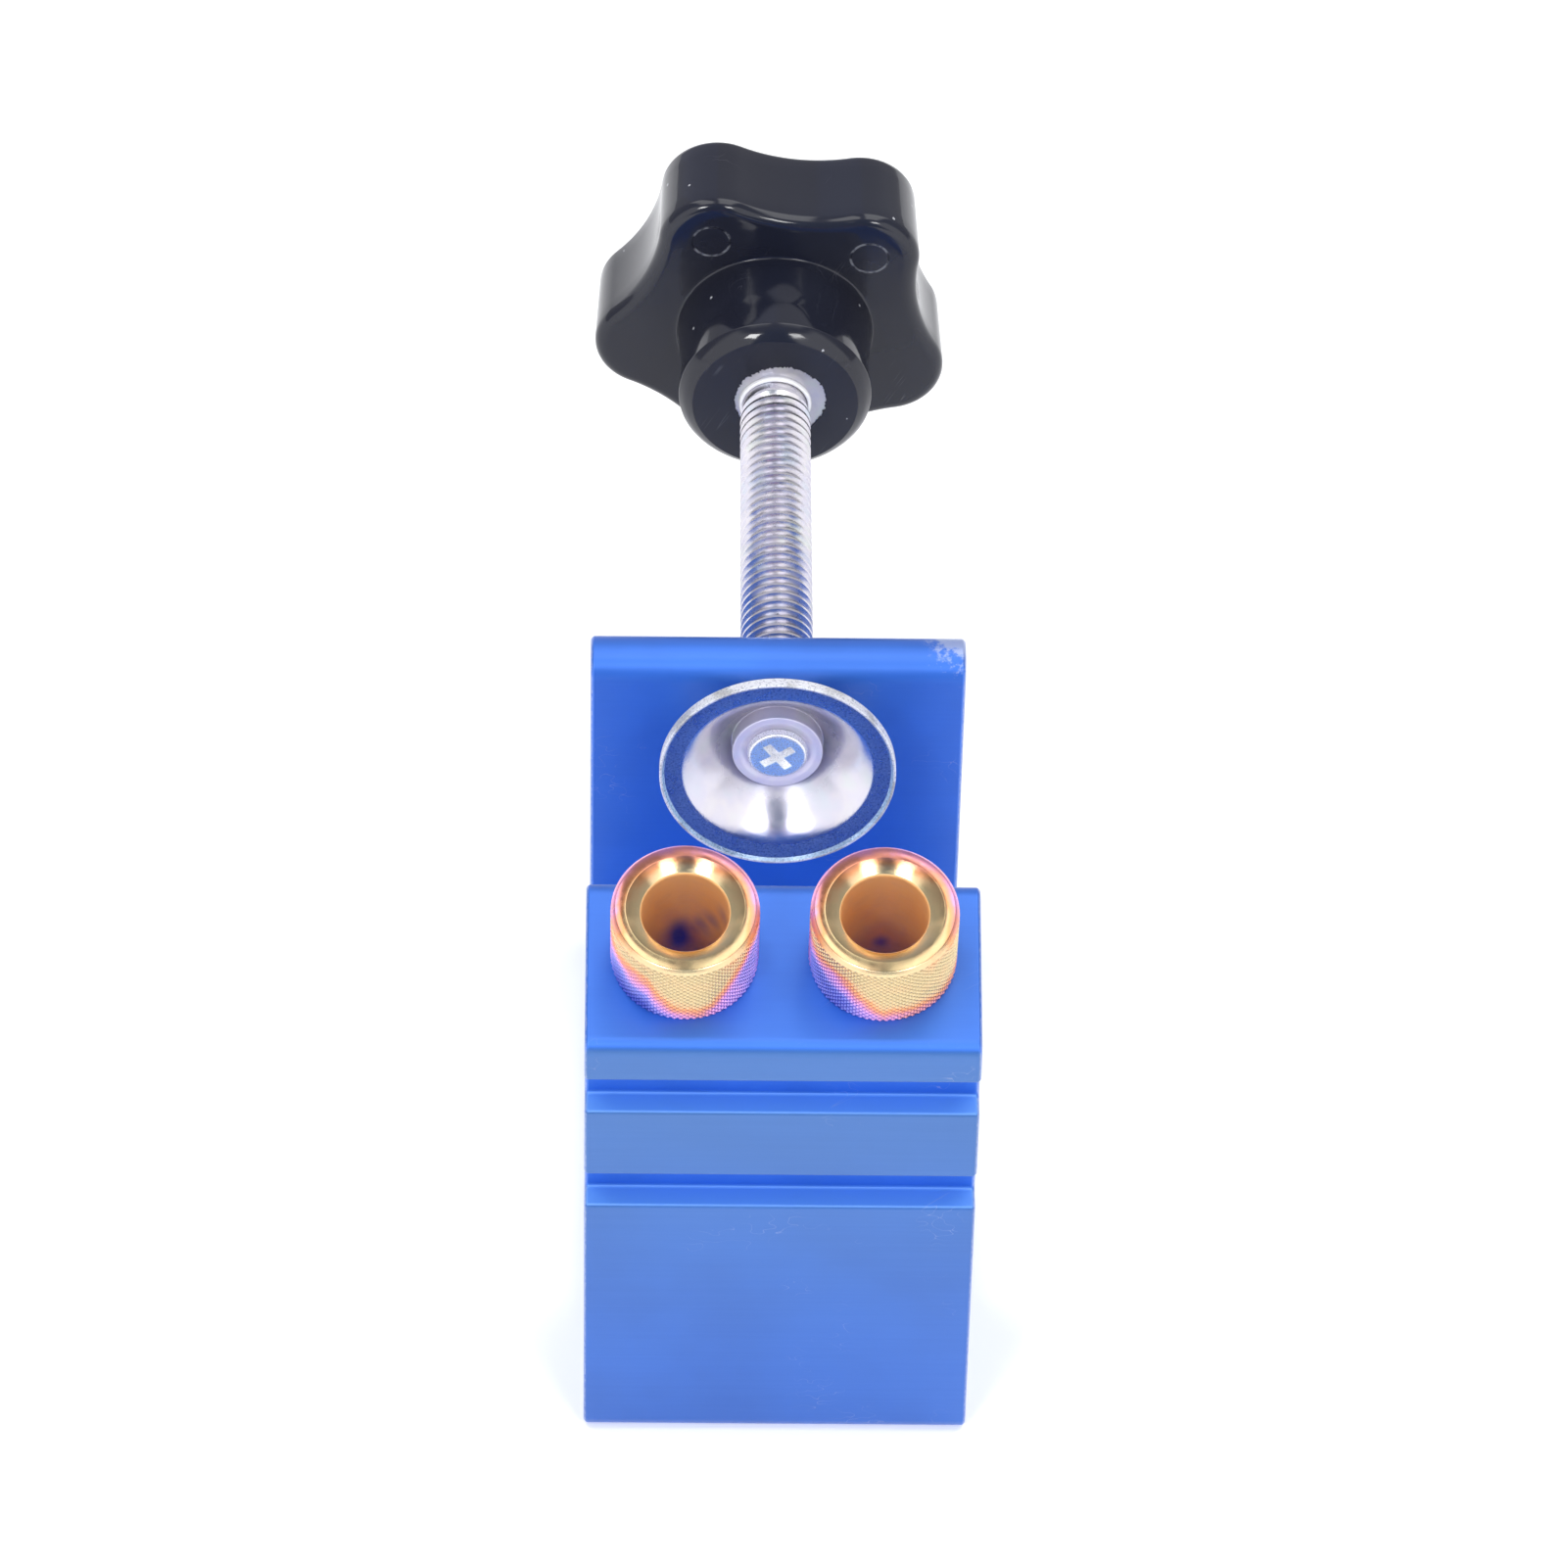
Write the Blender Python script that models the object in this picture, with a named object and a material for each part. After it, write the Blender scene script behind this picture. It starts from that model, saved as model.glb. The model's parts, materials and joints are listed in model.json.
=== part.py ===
"""A pocket hole jig: an extruded aluminium body with two angled drill bushes and a screw clamp.

The body is one extrusion: the guide block in front, a base plate, and an upright arm behind.
Work stands on the base with its face against the guide block, and the swivel pad of the clamp
screw presses it there. X is across the jig, Y runs from the guide block towards the knob, and
Z is up. The origin lies on the underside, below the block's clamping face.
"""

import math

import bmesh
import bpy
from mathutils import Matrix, Vector

MM = 0.001
CLEARANCE = 0.3 * MM

# The extruded body
BODY_WIDTH = 40.0 * MM
BLOCK_DEPTH = 19.4 * MM
BLOCK_FRONT_HEIGHT = 58.4 * MM
BASE_THICKNESS = 5.0 * MM
THROAT = 47.0 * MM
ARM_THICKNESS = 6.0 * MM
ARM_HEIGHT = 47.3 * MM
ARM_TOP_RADIUS = 2.8 * MM
OUTER_RADIUS = 1.8 * MM
INNER_RADIUS = 3.0 * MM
END_CHAMFER = 0.3 * MM

# The two grooves across the front of the guide block, measured down from its front edge
GROOVE_DROPS = (4.9 * MM, 18.9 * MM)
GROOVE_HEIGHT = 4.6 * MM
GROOVE_DEPTH = 2.8 * MM
GROOVE_RADIUS = 0.4 * MM

# The drill bushes, square to the sloping top of the guide block
BUSH_TILT = math.radians(15.0)
BUSH_SPACING = 20.0 * MM
BUSH_FROM_BACK_EDGE = 9.4 * MM
BUSH_BORE_RADIUS = 4.5 * MM
BUSH_HEAD_RADIUS = 7.5 * MM
BUSH_HEAD_HEIGHT = 9.8 * MM
BUSH_BEVEL_WIDTH = 0.9 * MM
BUSH_BEVEL_HEIGHT = 0.7 * MM
BUSH_FOOT_CHAMFER = 0.3 * MM
BUSH_SHANK_RADIUS = 5.75 * MM
BUSH_SHANK_LENGTH = 9.0 * MM
COUNTERSINK_WIDTH = 1.4 * MM
COUNTERSINK_DEPTH = 0.95 * MM

# The clamp screw, an M8 rod with a rolled thread between a thinner neck and its tip
SPINDLE_HEIGHT = 38.5 * MM
THREAD_RADIUS = 3.9 * MM
THREAD_DEPTH = 0.66 * MM
THREAD_PITCH = 1.25 * MM
COLLAR_LENGTH = 0.2 * MM
NECK_LENGTH = 1.0 * MM
SPINDLE_BEHIND_ARM = 44.6 * MM
SPINDLE_IN_KNOB = 11.0 * MM
SPINDLE_CHAMFER = 0.4 * MM
THREAD_HOLE_CHAMFER = 0.6 * MM

# The swivel pad: a concave pressed cup whose raised boss takes the end of the rod
PAD_RADIUS = 12.6 * MM
PAD_SHEET = 1.2 * MM
PAD_LIP_WIDTH = 0.3 * MM
PAD_RIM_WIDTH = 2.0 * MM
PAD_RIM_DROP = 0.8 * MM
PAD_DEPTH = 5.7 * MM
PAD_FLOOR_RADIUS = 5.0 * MM
PAD_BOSS_RADIUS = 4.8 * MM
PAD_BOSS_RISE = 2.6 * MM
PAD_TILT = math.radians(3.7)
PAD_ARM_GAP = 0.65 * MM

# The pan-head screw that holds the pad on the rod
PAD_SCREW_RADIUS = 1.9 * MM
PAD_SCREW_LENGTH = 8.0 * MM
PAD_SCREW_HEAD_RADIUS = 3.2 * MM
PAD_SCREW_HEAD_HEIGHT = 0.9 * MM
PAD_SCREW_HEAD_ROUND = 0.3 * MM
RECESS_SPAN = 4.3 * MM
RECESS_WIDTH = 0.9 * MM
RECESS_DEPTH = 1.4 * MM
RECESS_TURN = math.radians(35.5)

# The star knob and the steel insert moulded into its hub
LOBES = 5
LOBE_PHASE = math.radians(46.7)
LOBE_RADIUS = 6.4 * MM
LOBE_CENTRE_RADIUS = 14.0 * MM
VALLEY_RADIUS = 16.4 * MM
KNOB_THICKNESS = 12.0 * MM
KNOB_TAPER = 0.03
KNOB_FRONT_ROUND = 1.0 * MM
KNOB_BACK_ROUND = 1.4 * MM
HUB_LENGTH = 12.0 * MM
HUB_ROOT_RADIUS = 10.9 * MM
HUB_WAIST_RADIUS = 10.4 * MM
HUB_END_RADIUS = 10.7 * MM
HUB_CHAMFER = 1.5 * MM
INSERT_RADIUS = 5.6 * MM
INSERT_LENGTH = 12.0 * MM

TURNED_STEPS = 48
LARGE_TURNED_STEPS = 64
THREAD_STEPS = 24
ARC_STEP = math.radians(15.0)
SHARP_ANGLE = math.radians(32.0)
WELD_DISTANCE = 0.0005 * MM

# Places that follow from the sizes above
ARM_FRONT = THROAT
ARM_BACK = THROAT + ARM_THICKNESS
TOP_SLOPE = math.tan(BUSH_TILT)
BLOCK_BACK_HEIGHT = BLOCK_FRONT_HEIGHT + BLOCK_DEPTH * TOP_SLOPE
BUSH_SEAT_Y = -BUSH_FROM_BACK_EDGE * math.cos(BUSH_TILT)
BUSH_SEAT_Z = BLOCK_BACK_HEIGHT - BUSH_FROM_BACK_EDGE * math.sin(BUSH_TILT)
DRILL_REACH = (BUSH_BORE_RADIUS * math.cos(BUSH_TILT) - BUSH_SEAT_Y) / math.sin(BUSH_TILT)
BOSS_SWING = (PAD_BOSS_RISE + PAD_SHEET) * math.sin(PAD_TILT)
SPIGOT_RADIUS = PAD_BOSS_RADIUS - PAD_SHEET - CLEARANCE - BOSS_SWING
SWIVEL_PLAY = CLEARANCE + SPIGOT_RADIUS * math.sin(PAD_TILT)
PAD_BACK_RADIUS = PAD_FLOOR_RADIUS + PAD_SHEET
PAD_RIM_AHEAD = PAD_DEPTH + PAD_SHEET + PAD_BACK_RADIUS * math.sin(PAD_TILT) + PAD_ARM_GAP
BOSS_FACE = PAD_RIM_AHEAD - PAD_DEPTH + PAD_BOSS_RISE
SPINDLE_TIP = BOSS_FACE - PAD_SHEET - SWIVEL_PLAY
HUB_END = -ARM_THICKNESS - SPINDLE_BEHIND_ARM
LOBED_FACE = HUB_END - HUB_LENGTH


def clear_scene():
    for obj in list(bpy.data.objects):
        bpy.data.objects.remove(obj, do_unlink=True)


def make_material(name, colour, metallic, roughness):
    material = bpy.data.materials.new(name)
    material.use_nodes = True
    shader = material.node_tree.nodes["Principled BSDF"]
    shader.inputs["Base Color"].default_value = (*colour, 1.0)
    shader.inputs["Metallic"].default_value = metallic
    shader.inputs["Roughness"].default_value = roughness
    return material


def make_object(name, bm, material=None):
    """Turns the bmesh into a linked object, with its round faces shaded smooth."""
    bmesh.ops.remove_doubles(bm, verts=bm.verts, dist=WELD_DISTANCE)
    bmesh.ops.recalc_face_normals(bm, faces=bm.faces)
    mesh = bpy.data.meshes.new(name)
    bm.to_mesh(mesh)
    bm.free()
    mesh.shade_smooth()
    mesh.set_sharp_from_angle(angle=SHARP_ANGLE)
    if material:
        mesh.materials.append(material)
    obj = bpy.data.objects.new(name, mesh)
    bpy.context.scene.collection.objects.link(obj)
    return obj


def combine(obj, other, operation):
    """Cuts the other object from obj, or joins it on, and deletes the other."""
    step = obj.modifiers.new(operation.lower(), "BOOLEAN")
    step.operation = operation
    step.object = other
    step.solver = "EXACT"
    bpy.context.view_layer.update()
    graph = bpy.context.evaluated_depsgraph_get()
    result = bpy.data.meshes.new_from_object(obj.evaluated_get(graph))
    obj.modifiers.remove(step)
    obj.data = result
    result.shade_smooth()
    result.set_sharp_from_angle(angle=SHARP_ANGLE)
    bpy.data.objects.remove(other, do_unlink=True)


def arc(centre, radius, start, end):
    """Points on a circle from the start angle to the end angle, both included."""
    steps = max(2, math.ceil(abs(end - start) / ARC_STEP))
    angles = (start + (end - start) * i / steps for i in range(steps + 1))
    return [centre + radius * Vector((math.cos(a), math.sin(a))) for a in angles]


def rounded_outline(corners):
    """The closed outline through corners of (across, up, radius), each rounded by an arc."""
    points = []
    for i, (x, y, radius) in enumerate(corners):
        corner = Vector((x, y))
        before = (Vector(corners[i - 1][:2]) - corner).normalized()
        after = (Vector(corners[(i + 1) % len(corners)][:2]) - corner).normalized()
        half = before.angle(after) / 2
        centre = corner + (before + after).normalized() * radius / math.sin(half)
        entry = corner + before * radius / math.tan(half) - centre
        leave = corner + after * radius / math.tan(half) - centre
        start = math.atan2(entry.y, entry.x)
        turn = (math.atan2(leave.y, leave.x) - start + math.pi) % math.tau - math.pi
        points += arc(centre, radius, start, start + turn)
    return points


def extruded(points, depth, rounds):
    """A bmesh of the outline extruded along +Z, with rounds of (rim height, radius, segments)."""
    bm = bmesh.new()
    face = bm.faces.new([bm.verts.new((p.x, p.y, 0.0)) for p in points])
    grown = bmesh.ops.extrude_face_region(bm, geom=[face])["geom"]
    top = [v for v in grown if isinstance(v, bmesh.types.BMVert)]
    bmesh.ops.translate(bm, verts=top, vec=(0.0, 0.0, depth))
    for height, radius, segments in rounds:
        rim = [e for e in bm.edges if all(abs(v.co.z - height) < WELD_DISTANCE for v in e.verts)]
        bmesh.ops.bevel(
            bm, geom=rim, offset=radius, segments=segments, profile=0.5, affect="EDGES"
        )
    return bm


def turned(profile, steps=TURNED_STEPS, closed=False, bm=None):
    """Turns a profile of (radius, height) points about Z, into a new bmesh or the given one."""
    bm = bm or bmesh.new()
    verts = [bm.verts.new((radius, 0.0, height)) for radius, height in profile]
    pairs = list(zip(verts, verts[1:]))
    if closed:
        pairs.append((verts[-1], verts[0]))
    edges = [bm.edges.new(pair) for pair in pairs]
    bmesh.ops.spin(
        bm, geom=verts + edges, cent=(0, 0, 0), axis=(0, 0, 1), angle=math.tau,
        steps=steps, use_merge=True,
    )
    return bm


def body_outline():
    """The side outline of the extrusion, in (Y, Z), starting under the guide block."""
    front = -BLOCK_DEPTH
    corners = [
        (front, 0.0, OUTER_RADIUS),
        (ARM_BACK, 0.0, OUTER_RADIUS),
        (ARM_BACK, ARM_HEIGHT, ARM_TOP_RADIUS),
        (ARM_FRONT, ARM_HEIGHT, ARM_TOP_RADIUS),
        (ARM_FRONT, BASE_THICKNESS, INNER_RADIUS),
        (0.0, BASE_THICKNESS, INNER_RADIUS),
        (0.0, BLOCK_BACK_HEIGHT, OUTER_RADIUS),
        (front, BLOCK_FRONT_HEIGHT, OUTER_RADIUS),
    ]
    for drop in GROOVE_DROPS:
        upper = BLOCK_FRONT_HEIGHT - drop
        lower = upper - GROOVE_HEIGHT
        corners += [
            (front, upper, GROOVE_RADIUS),
            (front + GROOVE_DEPTH, upper, GROOVE_RADIUS),
            (front + GROOVE_DEPTH, lower, GROOVE_RADIUS),
            (front, lower, GROOVE_RADIUS),
        ]
    return rounded_outline(corners)


def bush_places():
    """The seat of each bush: the point where its axis meets the top of the guide block."""
    for side, x in (("left", -BUSH_SPACING / 2), ("right", BUSH_SPACING / 2)):
        seat = Matrix.Translation((x, BUSH_SEAT_Y, BUSH_SEAT_Z))
        yield side, seat @ Matrix.Rotation(BUSH_TILT, 4, "X")


def make_body(material):
    """The extrusion, drilled for both bushes and tapped in the arm for the clamp screw."""
    bm = extruded(
        body_outline(), BODY_WIDTH, ((0.0, END_CHAMFER, 1), (BODY_WIDTH, END_CHAMFER, 1))
    )
    upright = Matrix(((0, 0, 1), (1, 0, 0), (0, 1, 0))).to_4x4()
    bm.transform(Matrix.Translation((-BODY_WIDTH / 2, 0, 0)) @ upright)
    body = make_object("jig_body", bm, material)

    pocket = BUSH_SHANK_RADIUS + CLEARANCE
    floor = -BUSH_SHANK_LENGTH - CLEARANCE
    bore = [
        (0.0, BUSH_HEAD_HEIGHT),
        (pocket, BUSH_HEAD_HEIGHT),
        (pocket, floor),
        (BUSH_BORE_RADIUS, floor),
        (BUSH_BORE_RADIUS, -DRILL_REACH),
        (0.0, -DRILL_REACH),
    ]
    for side, place in bush_places():
        cutter = make_object(f"{side}_bore_cutter", turned(bore))
        cutter.matrix_world = place
        combine(body, cutter, "DIFFERENCE")

    hole = THREAD_RADIUS + CLEARANCE
    mouth = hole + THREAD_HOLE_CHAMFER + ARM_THICKNESS
    tapped = [
        (0.0, ARM_THICKNESS),
        (mouth, ARM_THICKNESS),
        (hole, -THREAD_HOLE_CHAMFER),
        (hole, THREAD_HOLE_CHAMFER - ARM_THICKNESS),
        (mouth, -2 * ARM_THICKNESS),
        (0.0, -2 * ARM_THICKNESS),
    ]
    cutter = make_object("clamp_hole_cutter", turned(tapped))
    cutter.matrix_world = clamp_axis_matrix()
    combine(body, cutter, "DIFFERENCE")
    return body


def make_bush(side, place, material):
    """A turned drill bush: a headed sleeve with a countersunk mouth, seated on the block."""
    mouth = BUSH_BORE_RADIUS + COUNTERSINK_WIDTH
    profile = [
        (BUSH_BORE_RADIUS, -BUSH_SHANK_LENGTH),
        (BUSH_SHANK_RADIUS, -BUSH_SHANK_LENGTH),
        (BUSH_SHANK_RADIUS, CLEARANCE),
        (BUSH_HEAD_RADIUS - BUSH_FOOT_CHAMFER, CLEARANCE),
        (BUSH_HEAD_RADIUS, CLEARANCE + BUSH_FOOT_CHAMFER),
        (BUSH_HEAD_RADIUS, BUSH_HEAD_HEIGHT - BUSH_BEVEL_HEIGHT),
        (BUSH_HEAD_RADIUS - BUSH_BEVEL_WIDTH, BUSH_HEAD_HEIGHT),
        (mouth, BUSH_HEAD_HEIGHT),
        (BUSH_BORE_RADIUS, BUSH_HEAD_HEIGHT - COUNTERSINK_DEPTH),
    ]
    bush = make_object(f"guide_bush_{side}", turned(profile, closed=True), material)
    bush.matrix_world = place
    return bush


def clamp_axis_matrix():
    """The clamp screw's frame: its origin in the arm's front face, +Z towards the block."""
    place = Matrix.Translation((0.0, ARM_FRONT, SPINDLE_HEIGHT))
    return place @ Matrix.Rotation(math.pi / 2, 4, "X")


def make_clamp_axis():
    axis = bpy.data.objects.new("clamp_axis", None)
    axis.empty_display_size = PAD_RADIUS
    axis.matrix_world = clamp_axis_matrix()
    bpy.context.scene.collection.objects.link(axis)
    return axis


def add_thread(bm, start, end, neck):
    """Adds a right-hand V thread about Z whose ends run out into the neck's radius.

    Each row of points is one turn of the crest or of the root. It climbs by one pitch, and its
    last point is joined to the first point of the row that lies one pitch on.
    """
    turns = math.ceil((end - start) / THREAD_PITCH) + 2
    rows = []
    for row in range(2 * turns + 1):
        target = THREAD_RADIUS - THREAD_DEPTH * (row % 2)
        points = []
        for step in range(THREAD_STEPS):
            height = start + THREAD_PITCH * (row / 2 - 1 + step / THREAD_STEPS)
            height = min(max(height, start), end)
            rise = min(1.0, (height - start) / THREAD_PITCH, (end - height) / THREAD_PITCH)
            radius = neck + rise * (target - neck)
            angle = math.tau * step / THREAD_STEPS
            x, y = radius * math.cos(angle), radius * math.sin(angle)
            points.append(bm.verts.new((x, y, height)))
        rows.append(points)
    for row in range(2 * turns - 2):
        lower = rows[row] + rows[row + 2][:1]
        upper = rows[row + 1] + rows[row + 3][:1]
        for a, b, c, d in zip(lower, lower[1:], upper[1:], upper):
            if max(c.co.z, d.co.z) > start and min(a.co.z, b.co.z) < end:
                bm.faces.new((a, b, c, d))


def make_spindle(axis, material):
    """The threaded rod, with a tapped spigot that reaches into the pad's boss."""
    tapped = PAD_SCREW_RADIUS + CLEARANCE
    tapped_end = BOSS_FACE + SWIVEL_PLAY - PAD_SCREW_LENGTH - CLEARANCE
    back = HUB_END - SPINDLE_IN_KNOB
    neck = THREAD_RADIUS - THREAD_DEPTH / 2
    collar_end = HUB_END + COLLAR_LENGTH
    thread_start = collar_end + NECK_LENGTH
    shank = [
        (0.0, back),
        (THREAD_RADIUS - SPINDLE_CHAMFER, back),
        (THREAD_RADIUS, back + SPINDLE_CHAMFER),
        (THREAD_RADIUS, collar_end - THREAD_DEPTH / 2),
        (neck, collar_end),
        (neck, thread_start),
    ]
    spigot = [
        (neck, 0.0),
        (SPIGOT_RADIUS, 0.0),
        (SPIGOT_RADIUS, SPINDLE_TIP),
        (tapped, SPINDLE_TIP),
        (tapped, tapped_end),
        (0.0, tapped_end),
    ]
    bm = turned(shank, THREAD_STEPS)
    turned(spigot, THREAD_STEPS, bm=bm)
    add_thread(bm, thread_start, 0.0, neck)
    spindle = make_object("clamp_spindle", bm, material)
    spindle.parent = axis
    return spindle


def thickened(points, thickness):
    """The closed section of a sheet that follows the points, laid to the left of their run."""
    lines = [Vector(b) - Vector(a) for a, b in zip(points, points[1:])]
    normals = [Vector((-line.y, line.x)).normalized() for line in lines]
    normals = [normals[0], *normals, normals[-1]]
    offset = []
    for point, before, after in zip(points, normals, normals[1:]):
        mitre = (before + after).normalized()
        offset.append(tuple(Vector(point) + mitre * thickness / mitre.dot(before)))
    return list(points) + offset[::-1]


def make_pad(axis, material):
    """The pressed cup, tilted on its boss as it hangs loose on its screw."""
    hole = PAD_SCREW_RADIUS + CLEARANCE
    face = [
        (PAD_RADIUS, 0.0),
        (PAD_RADIUS - PAD_LIP_WIDTH, 0.0),
        (PAD_RADIUS - PAD_RIM_WIDTH, -PAD_RIM_DROP),
        (PAD_FLOOR_RADIUS, -PAD_DEPTH),
        (PAD_BOSS_RADIUS, -PAD_DEPTH),
        (PAD_BOSS_RADIUS, PAD_BOSS_RISE - PAD_DEPTH),
        (hole, PAD_BOSS_RISE - PAD_DEPTH),
    ]
    section = thickened(face, PAD_SHEET)
    pad = make_object("swivel_pad", turned(section, LARGE_TURNED_STEPS, closed=True), material)
    pad.parent = axis
    pivot = Matrix.Translation((0.0, 0.0, BOSS_FACE))
    tilt = Matrix.Rotation(-PAD_TILT, 4, "X")
    pad.matrix_local = pivot @ tilt @ Matrix.Translation((0, 0, PAD_DEPTH - PAD_BOSS_RISE))
    return pad


def make_pad_screw(axis, material):
    """The pan-head screw through the boss, with its cross recess."""
    seat = BOSS_FACE + SWIVEL_PLAY
    crown = seat + PAD_SCREW_HEAD_HEIGHT
    profile = [
        (0.0, seat - PAD_SCREW_LENGTH),
        (PAD_SCREW_RADIUS, seat - PAD_SCREW_LENGTH),
        (PAD_SCREW_RADIUS, seat),
        (PAD_SCREW_HEAD_RADIUS, seat),
        (PAD_SCREW_HEAD_RADIUS, crown - PAD_SCREW_HEAD_ROUND),
        (PAD_SCREW_HEAD_RADIUS - PAD_SCREW_HEAD_ROUND, crown),
        (0.0, crown),
    ]
    screw = make_object("pad_screw", turned(profile), material)
    for turn in (RECESS_TURN, RECESS_TURN + math.pi / 2):
        bm = bmesh.new()
        bmesh.ops.create_cube(bm, size=1.0)
        cutter = make_object("recess_cutter", bm)
        size = Matrix.Diagonal((RECESS_SPAN, RECESS_WIDTH, 2 * RECESS_DEPTH, 1.0))
        cutter.data.transform(size)
        place = Matrix.Translation((0, 0, crown)) @ Matrix.Rotation(turn, 4, "Z")
        cutter.matrix_world = place
        combine(screw, cutter, "DIFFERENCE")
    screw.parent = axis
    return screw


def star_outline():
    """Round lobes joined by hollow arcs that touch the valley circle."""
    half_step = math.pi / LOBES
    c = math.cos(half_step)
    hollow = (
        LOBE_RADIUS**2 - VALLEY_RADIUS**2 - LOBE_CENTRE_RADIUS**2
        + 2 * VALLEY_RADIUS * LOBE_CENTRE_RADIUS * c
    ) / (2 * (VALLEY_RADIUS - LOBE_CENTRE_RADIUS * c - LOBE_RADIUS))
    reach = VALLEY_RADIUS + hollow
    spread = math.atan2(reach * math.sin(half_step), reach * c - LOBE_CENTRE_RADIUS)
    points = []
    for i in range(LOBES):
        lobe = LOBE_PHASE + 2 * half_step * i
        valley = lobe + half_step
        centre = LOBE_CENTRE_RADIUS * Vector((math.cos(lobe), math.sin(lobe)))
        points += arc(centre, LOBE_RADIUS, lobe - spread, lobe + spread)[:-1]
        centre = reach * Vector((math.cos(valley), math.sin(valley)))
        start = lobe + spread + math.pi
        points += arc(centre, hollow, start, start - 2 * (spread - half_step))[:-1]
    return points


def make_knob(axis, material):
    """The lobed grip, tapered towards its back, and its hub, with a bore for the insert."""
    back = LOBED_FACE - KNOB_THICKNESS
    bm = extruded(
        star_outline(),
        KNOB_THICKNESS,
        ((0.0, KNOB_BACK_ROUND, 4), (KNOB_THICKNESS, KNOB_FRONT_ROUND, 3)),
    )
    for vert in bm.verts:
        vert.co.xy *= 1.0 - KNOB_TAPER * (1.0 - vert.co.z / KNOB_THICKNESS)
    bm.transform(Matrix.Translation((0, 0, back)))
    knob = make_object("star_knob", bm, material)
    root = LOBED_FACE - KNOB_THICKNESS / 2
    hub = [
        (0.0, root),
        (HUB_ROOT_RADIUS, root),
        (HUB_ROOT_RADIUS, LOBED_FACE),
        (HUB_WAIST_RADIUS, (HUB_END + LOBED_FACE) / 2),
        (HUB_END_RADIUS, HUB_END - HUB_CHAMFER),
        (HUB_END_RADIUS - HUB_CHAMFER, HUB_END),
        (0.0, HUB_END),
    ]
    combine(knob, make_object("hub", turned(hub, LARGE_TURNED_STEPS)), "UNION")
    bore = INSERT_RADIUS + CLEARANCE
    floor = HUB_END - INSERT_LENGTH - CLEARANCE
    open_end = HUB_END + HUB_LENGTH
    cutter = turned([(0.0, floor), (bore, floor), (bore, open_end), (0.0, open_end)])
    combine(knob, make_object("insert_cutter", cutter), "DIFFERENCE")
    knob.parent = axis
    return knob


def make_insert(axis, material):
    """The steel sleeve that joins the rod to the knob, flush with the end of the hub."""
    bore = THREAD_RADIUS + CLEARANCE
    back = HUB_END - INSERT_LENGTH
    profile = [(bore, back), (INSERT_RADIUS, back), (INSERT_RADIUS, HUB_END), (bore, HUB_END)]
    insert = make_object("knob_insert", turned(profile, closed=True), material)
    insert.parent = axis
    return insert


def main():
    clear_scene()
    anodised = make_material("blue_anodised_aluminium", (0.06, 0.20, 0.75), 0.6, 0.4)
    gold = make_material("gold_coated_steel", (0.78, 0.60, 0.30), 1.0, 0.3)
    zinc = make_material("zinc_plated_steel", (0.72, 0.73, 0.76), 1.0, 0.3)
    moulded = make_material("black_moulded_plastic", (0.015, 0.016, 0.02), 0.0, 0.25)

    make_body(anodised)
    for side, place in bush_places():
        make_bush(side, place, gold)

    axis = make_clamp_axis()
    make_spindle(axis, zinc)
    make_pad(axis, zinc)
    make_pad_screw(axis, zinc)
    make_knob(axis, moulded)
    make_insert(axis, zinc)


main()
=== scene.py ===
# %% [markdown]
# # A pocket hole jig
# This lesson dresses a small drilling jig: a blue anodised aluminium body, two gold drill bushes,
# and a screw clamp with a black star knob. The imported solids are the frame. They fix every size and
# place, so each piece below starts from them, and only its shape in detail and its finish are added
# here.

# %% Load the frame
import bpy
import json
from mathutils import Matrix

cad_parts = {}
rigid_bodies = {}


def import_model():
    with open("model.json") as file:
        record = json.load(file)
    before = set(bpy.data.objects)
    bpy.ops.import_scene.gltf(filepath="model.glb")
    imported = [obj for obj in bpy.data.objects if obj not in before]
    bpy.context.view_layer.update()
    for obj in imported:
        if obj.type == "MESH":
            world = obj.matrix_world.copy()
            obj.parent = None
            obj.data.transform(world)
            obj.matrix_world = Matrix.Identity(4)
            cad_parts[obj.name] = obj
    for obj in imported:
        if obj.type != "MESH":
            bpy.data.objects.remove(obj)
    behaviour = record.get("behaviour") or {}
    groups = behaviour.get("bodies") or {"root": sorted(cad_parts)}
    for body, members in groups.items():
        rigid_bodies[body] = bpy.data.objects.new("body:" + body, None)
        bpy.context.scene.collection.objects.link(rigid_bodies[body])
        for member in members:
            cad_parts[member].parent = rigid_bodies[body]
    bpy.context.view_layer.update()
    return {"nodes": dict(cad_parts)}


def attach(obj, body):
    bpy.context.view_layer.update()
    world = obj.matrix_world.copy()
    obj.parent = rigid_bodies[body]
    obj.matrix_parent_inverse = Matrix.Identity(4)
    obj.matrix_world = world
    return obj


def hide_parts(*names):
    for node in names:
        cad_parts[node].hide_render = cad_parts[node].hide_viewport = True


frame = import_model()

print("nodes:", sorted(frame["nodes"]))

# %% Tools and units
import json
import math

import bmesh
import bpy
import numpy as np
from mathutils import Matrix, Vector, noise

MM = 0.001
SMOOTH_BELOW = math.radians(35.0)

# %% [markdown]
# ## Small helpers
# Nearly every piece of this jig was turned, threaded or moulded round an axis. A row of points is
# turned into a ring, and rings are skinned with quads. A ring of one point is a pole and gets
# triangles. One helper does this for lathe work, for the rod's ends and for the star knob, because
# a ring needn't be a circle. Another rounds the corners of a profile before it is turned.

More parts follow.
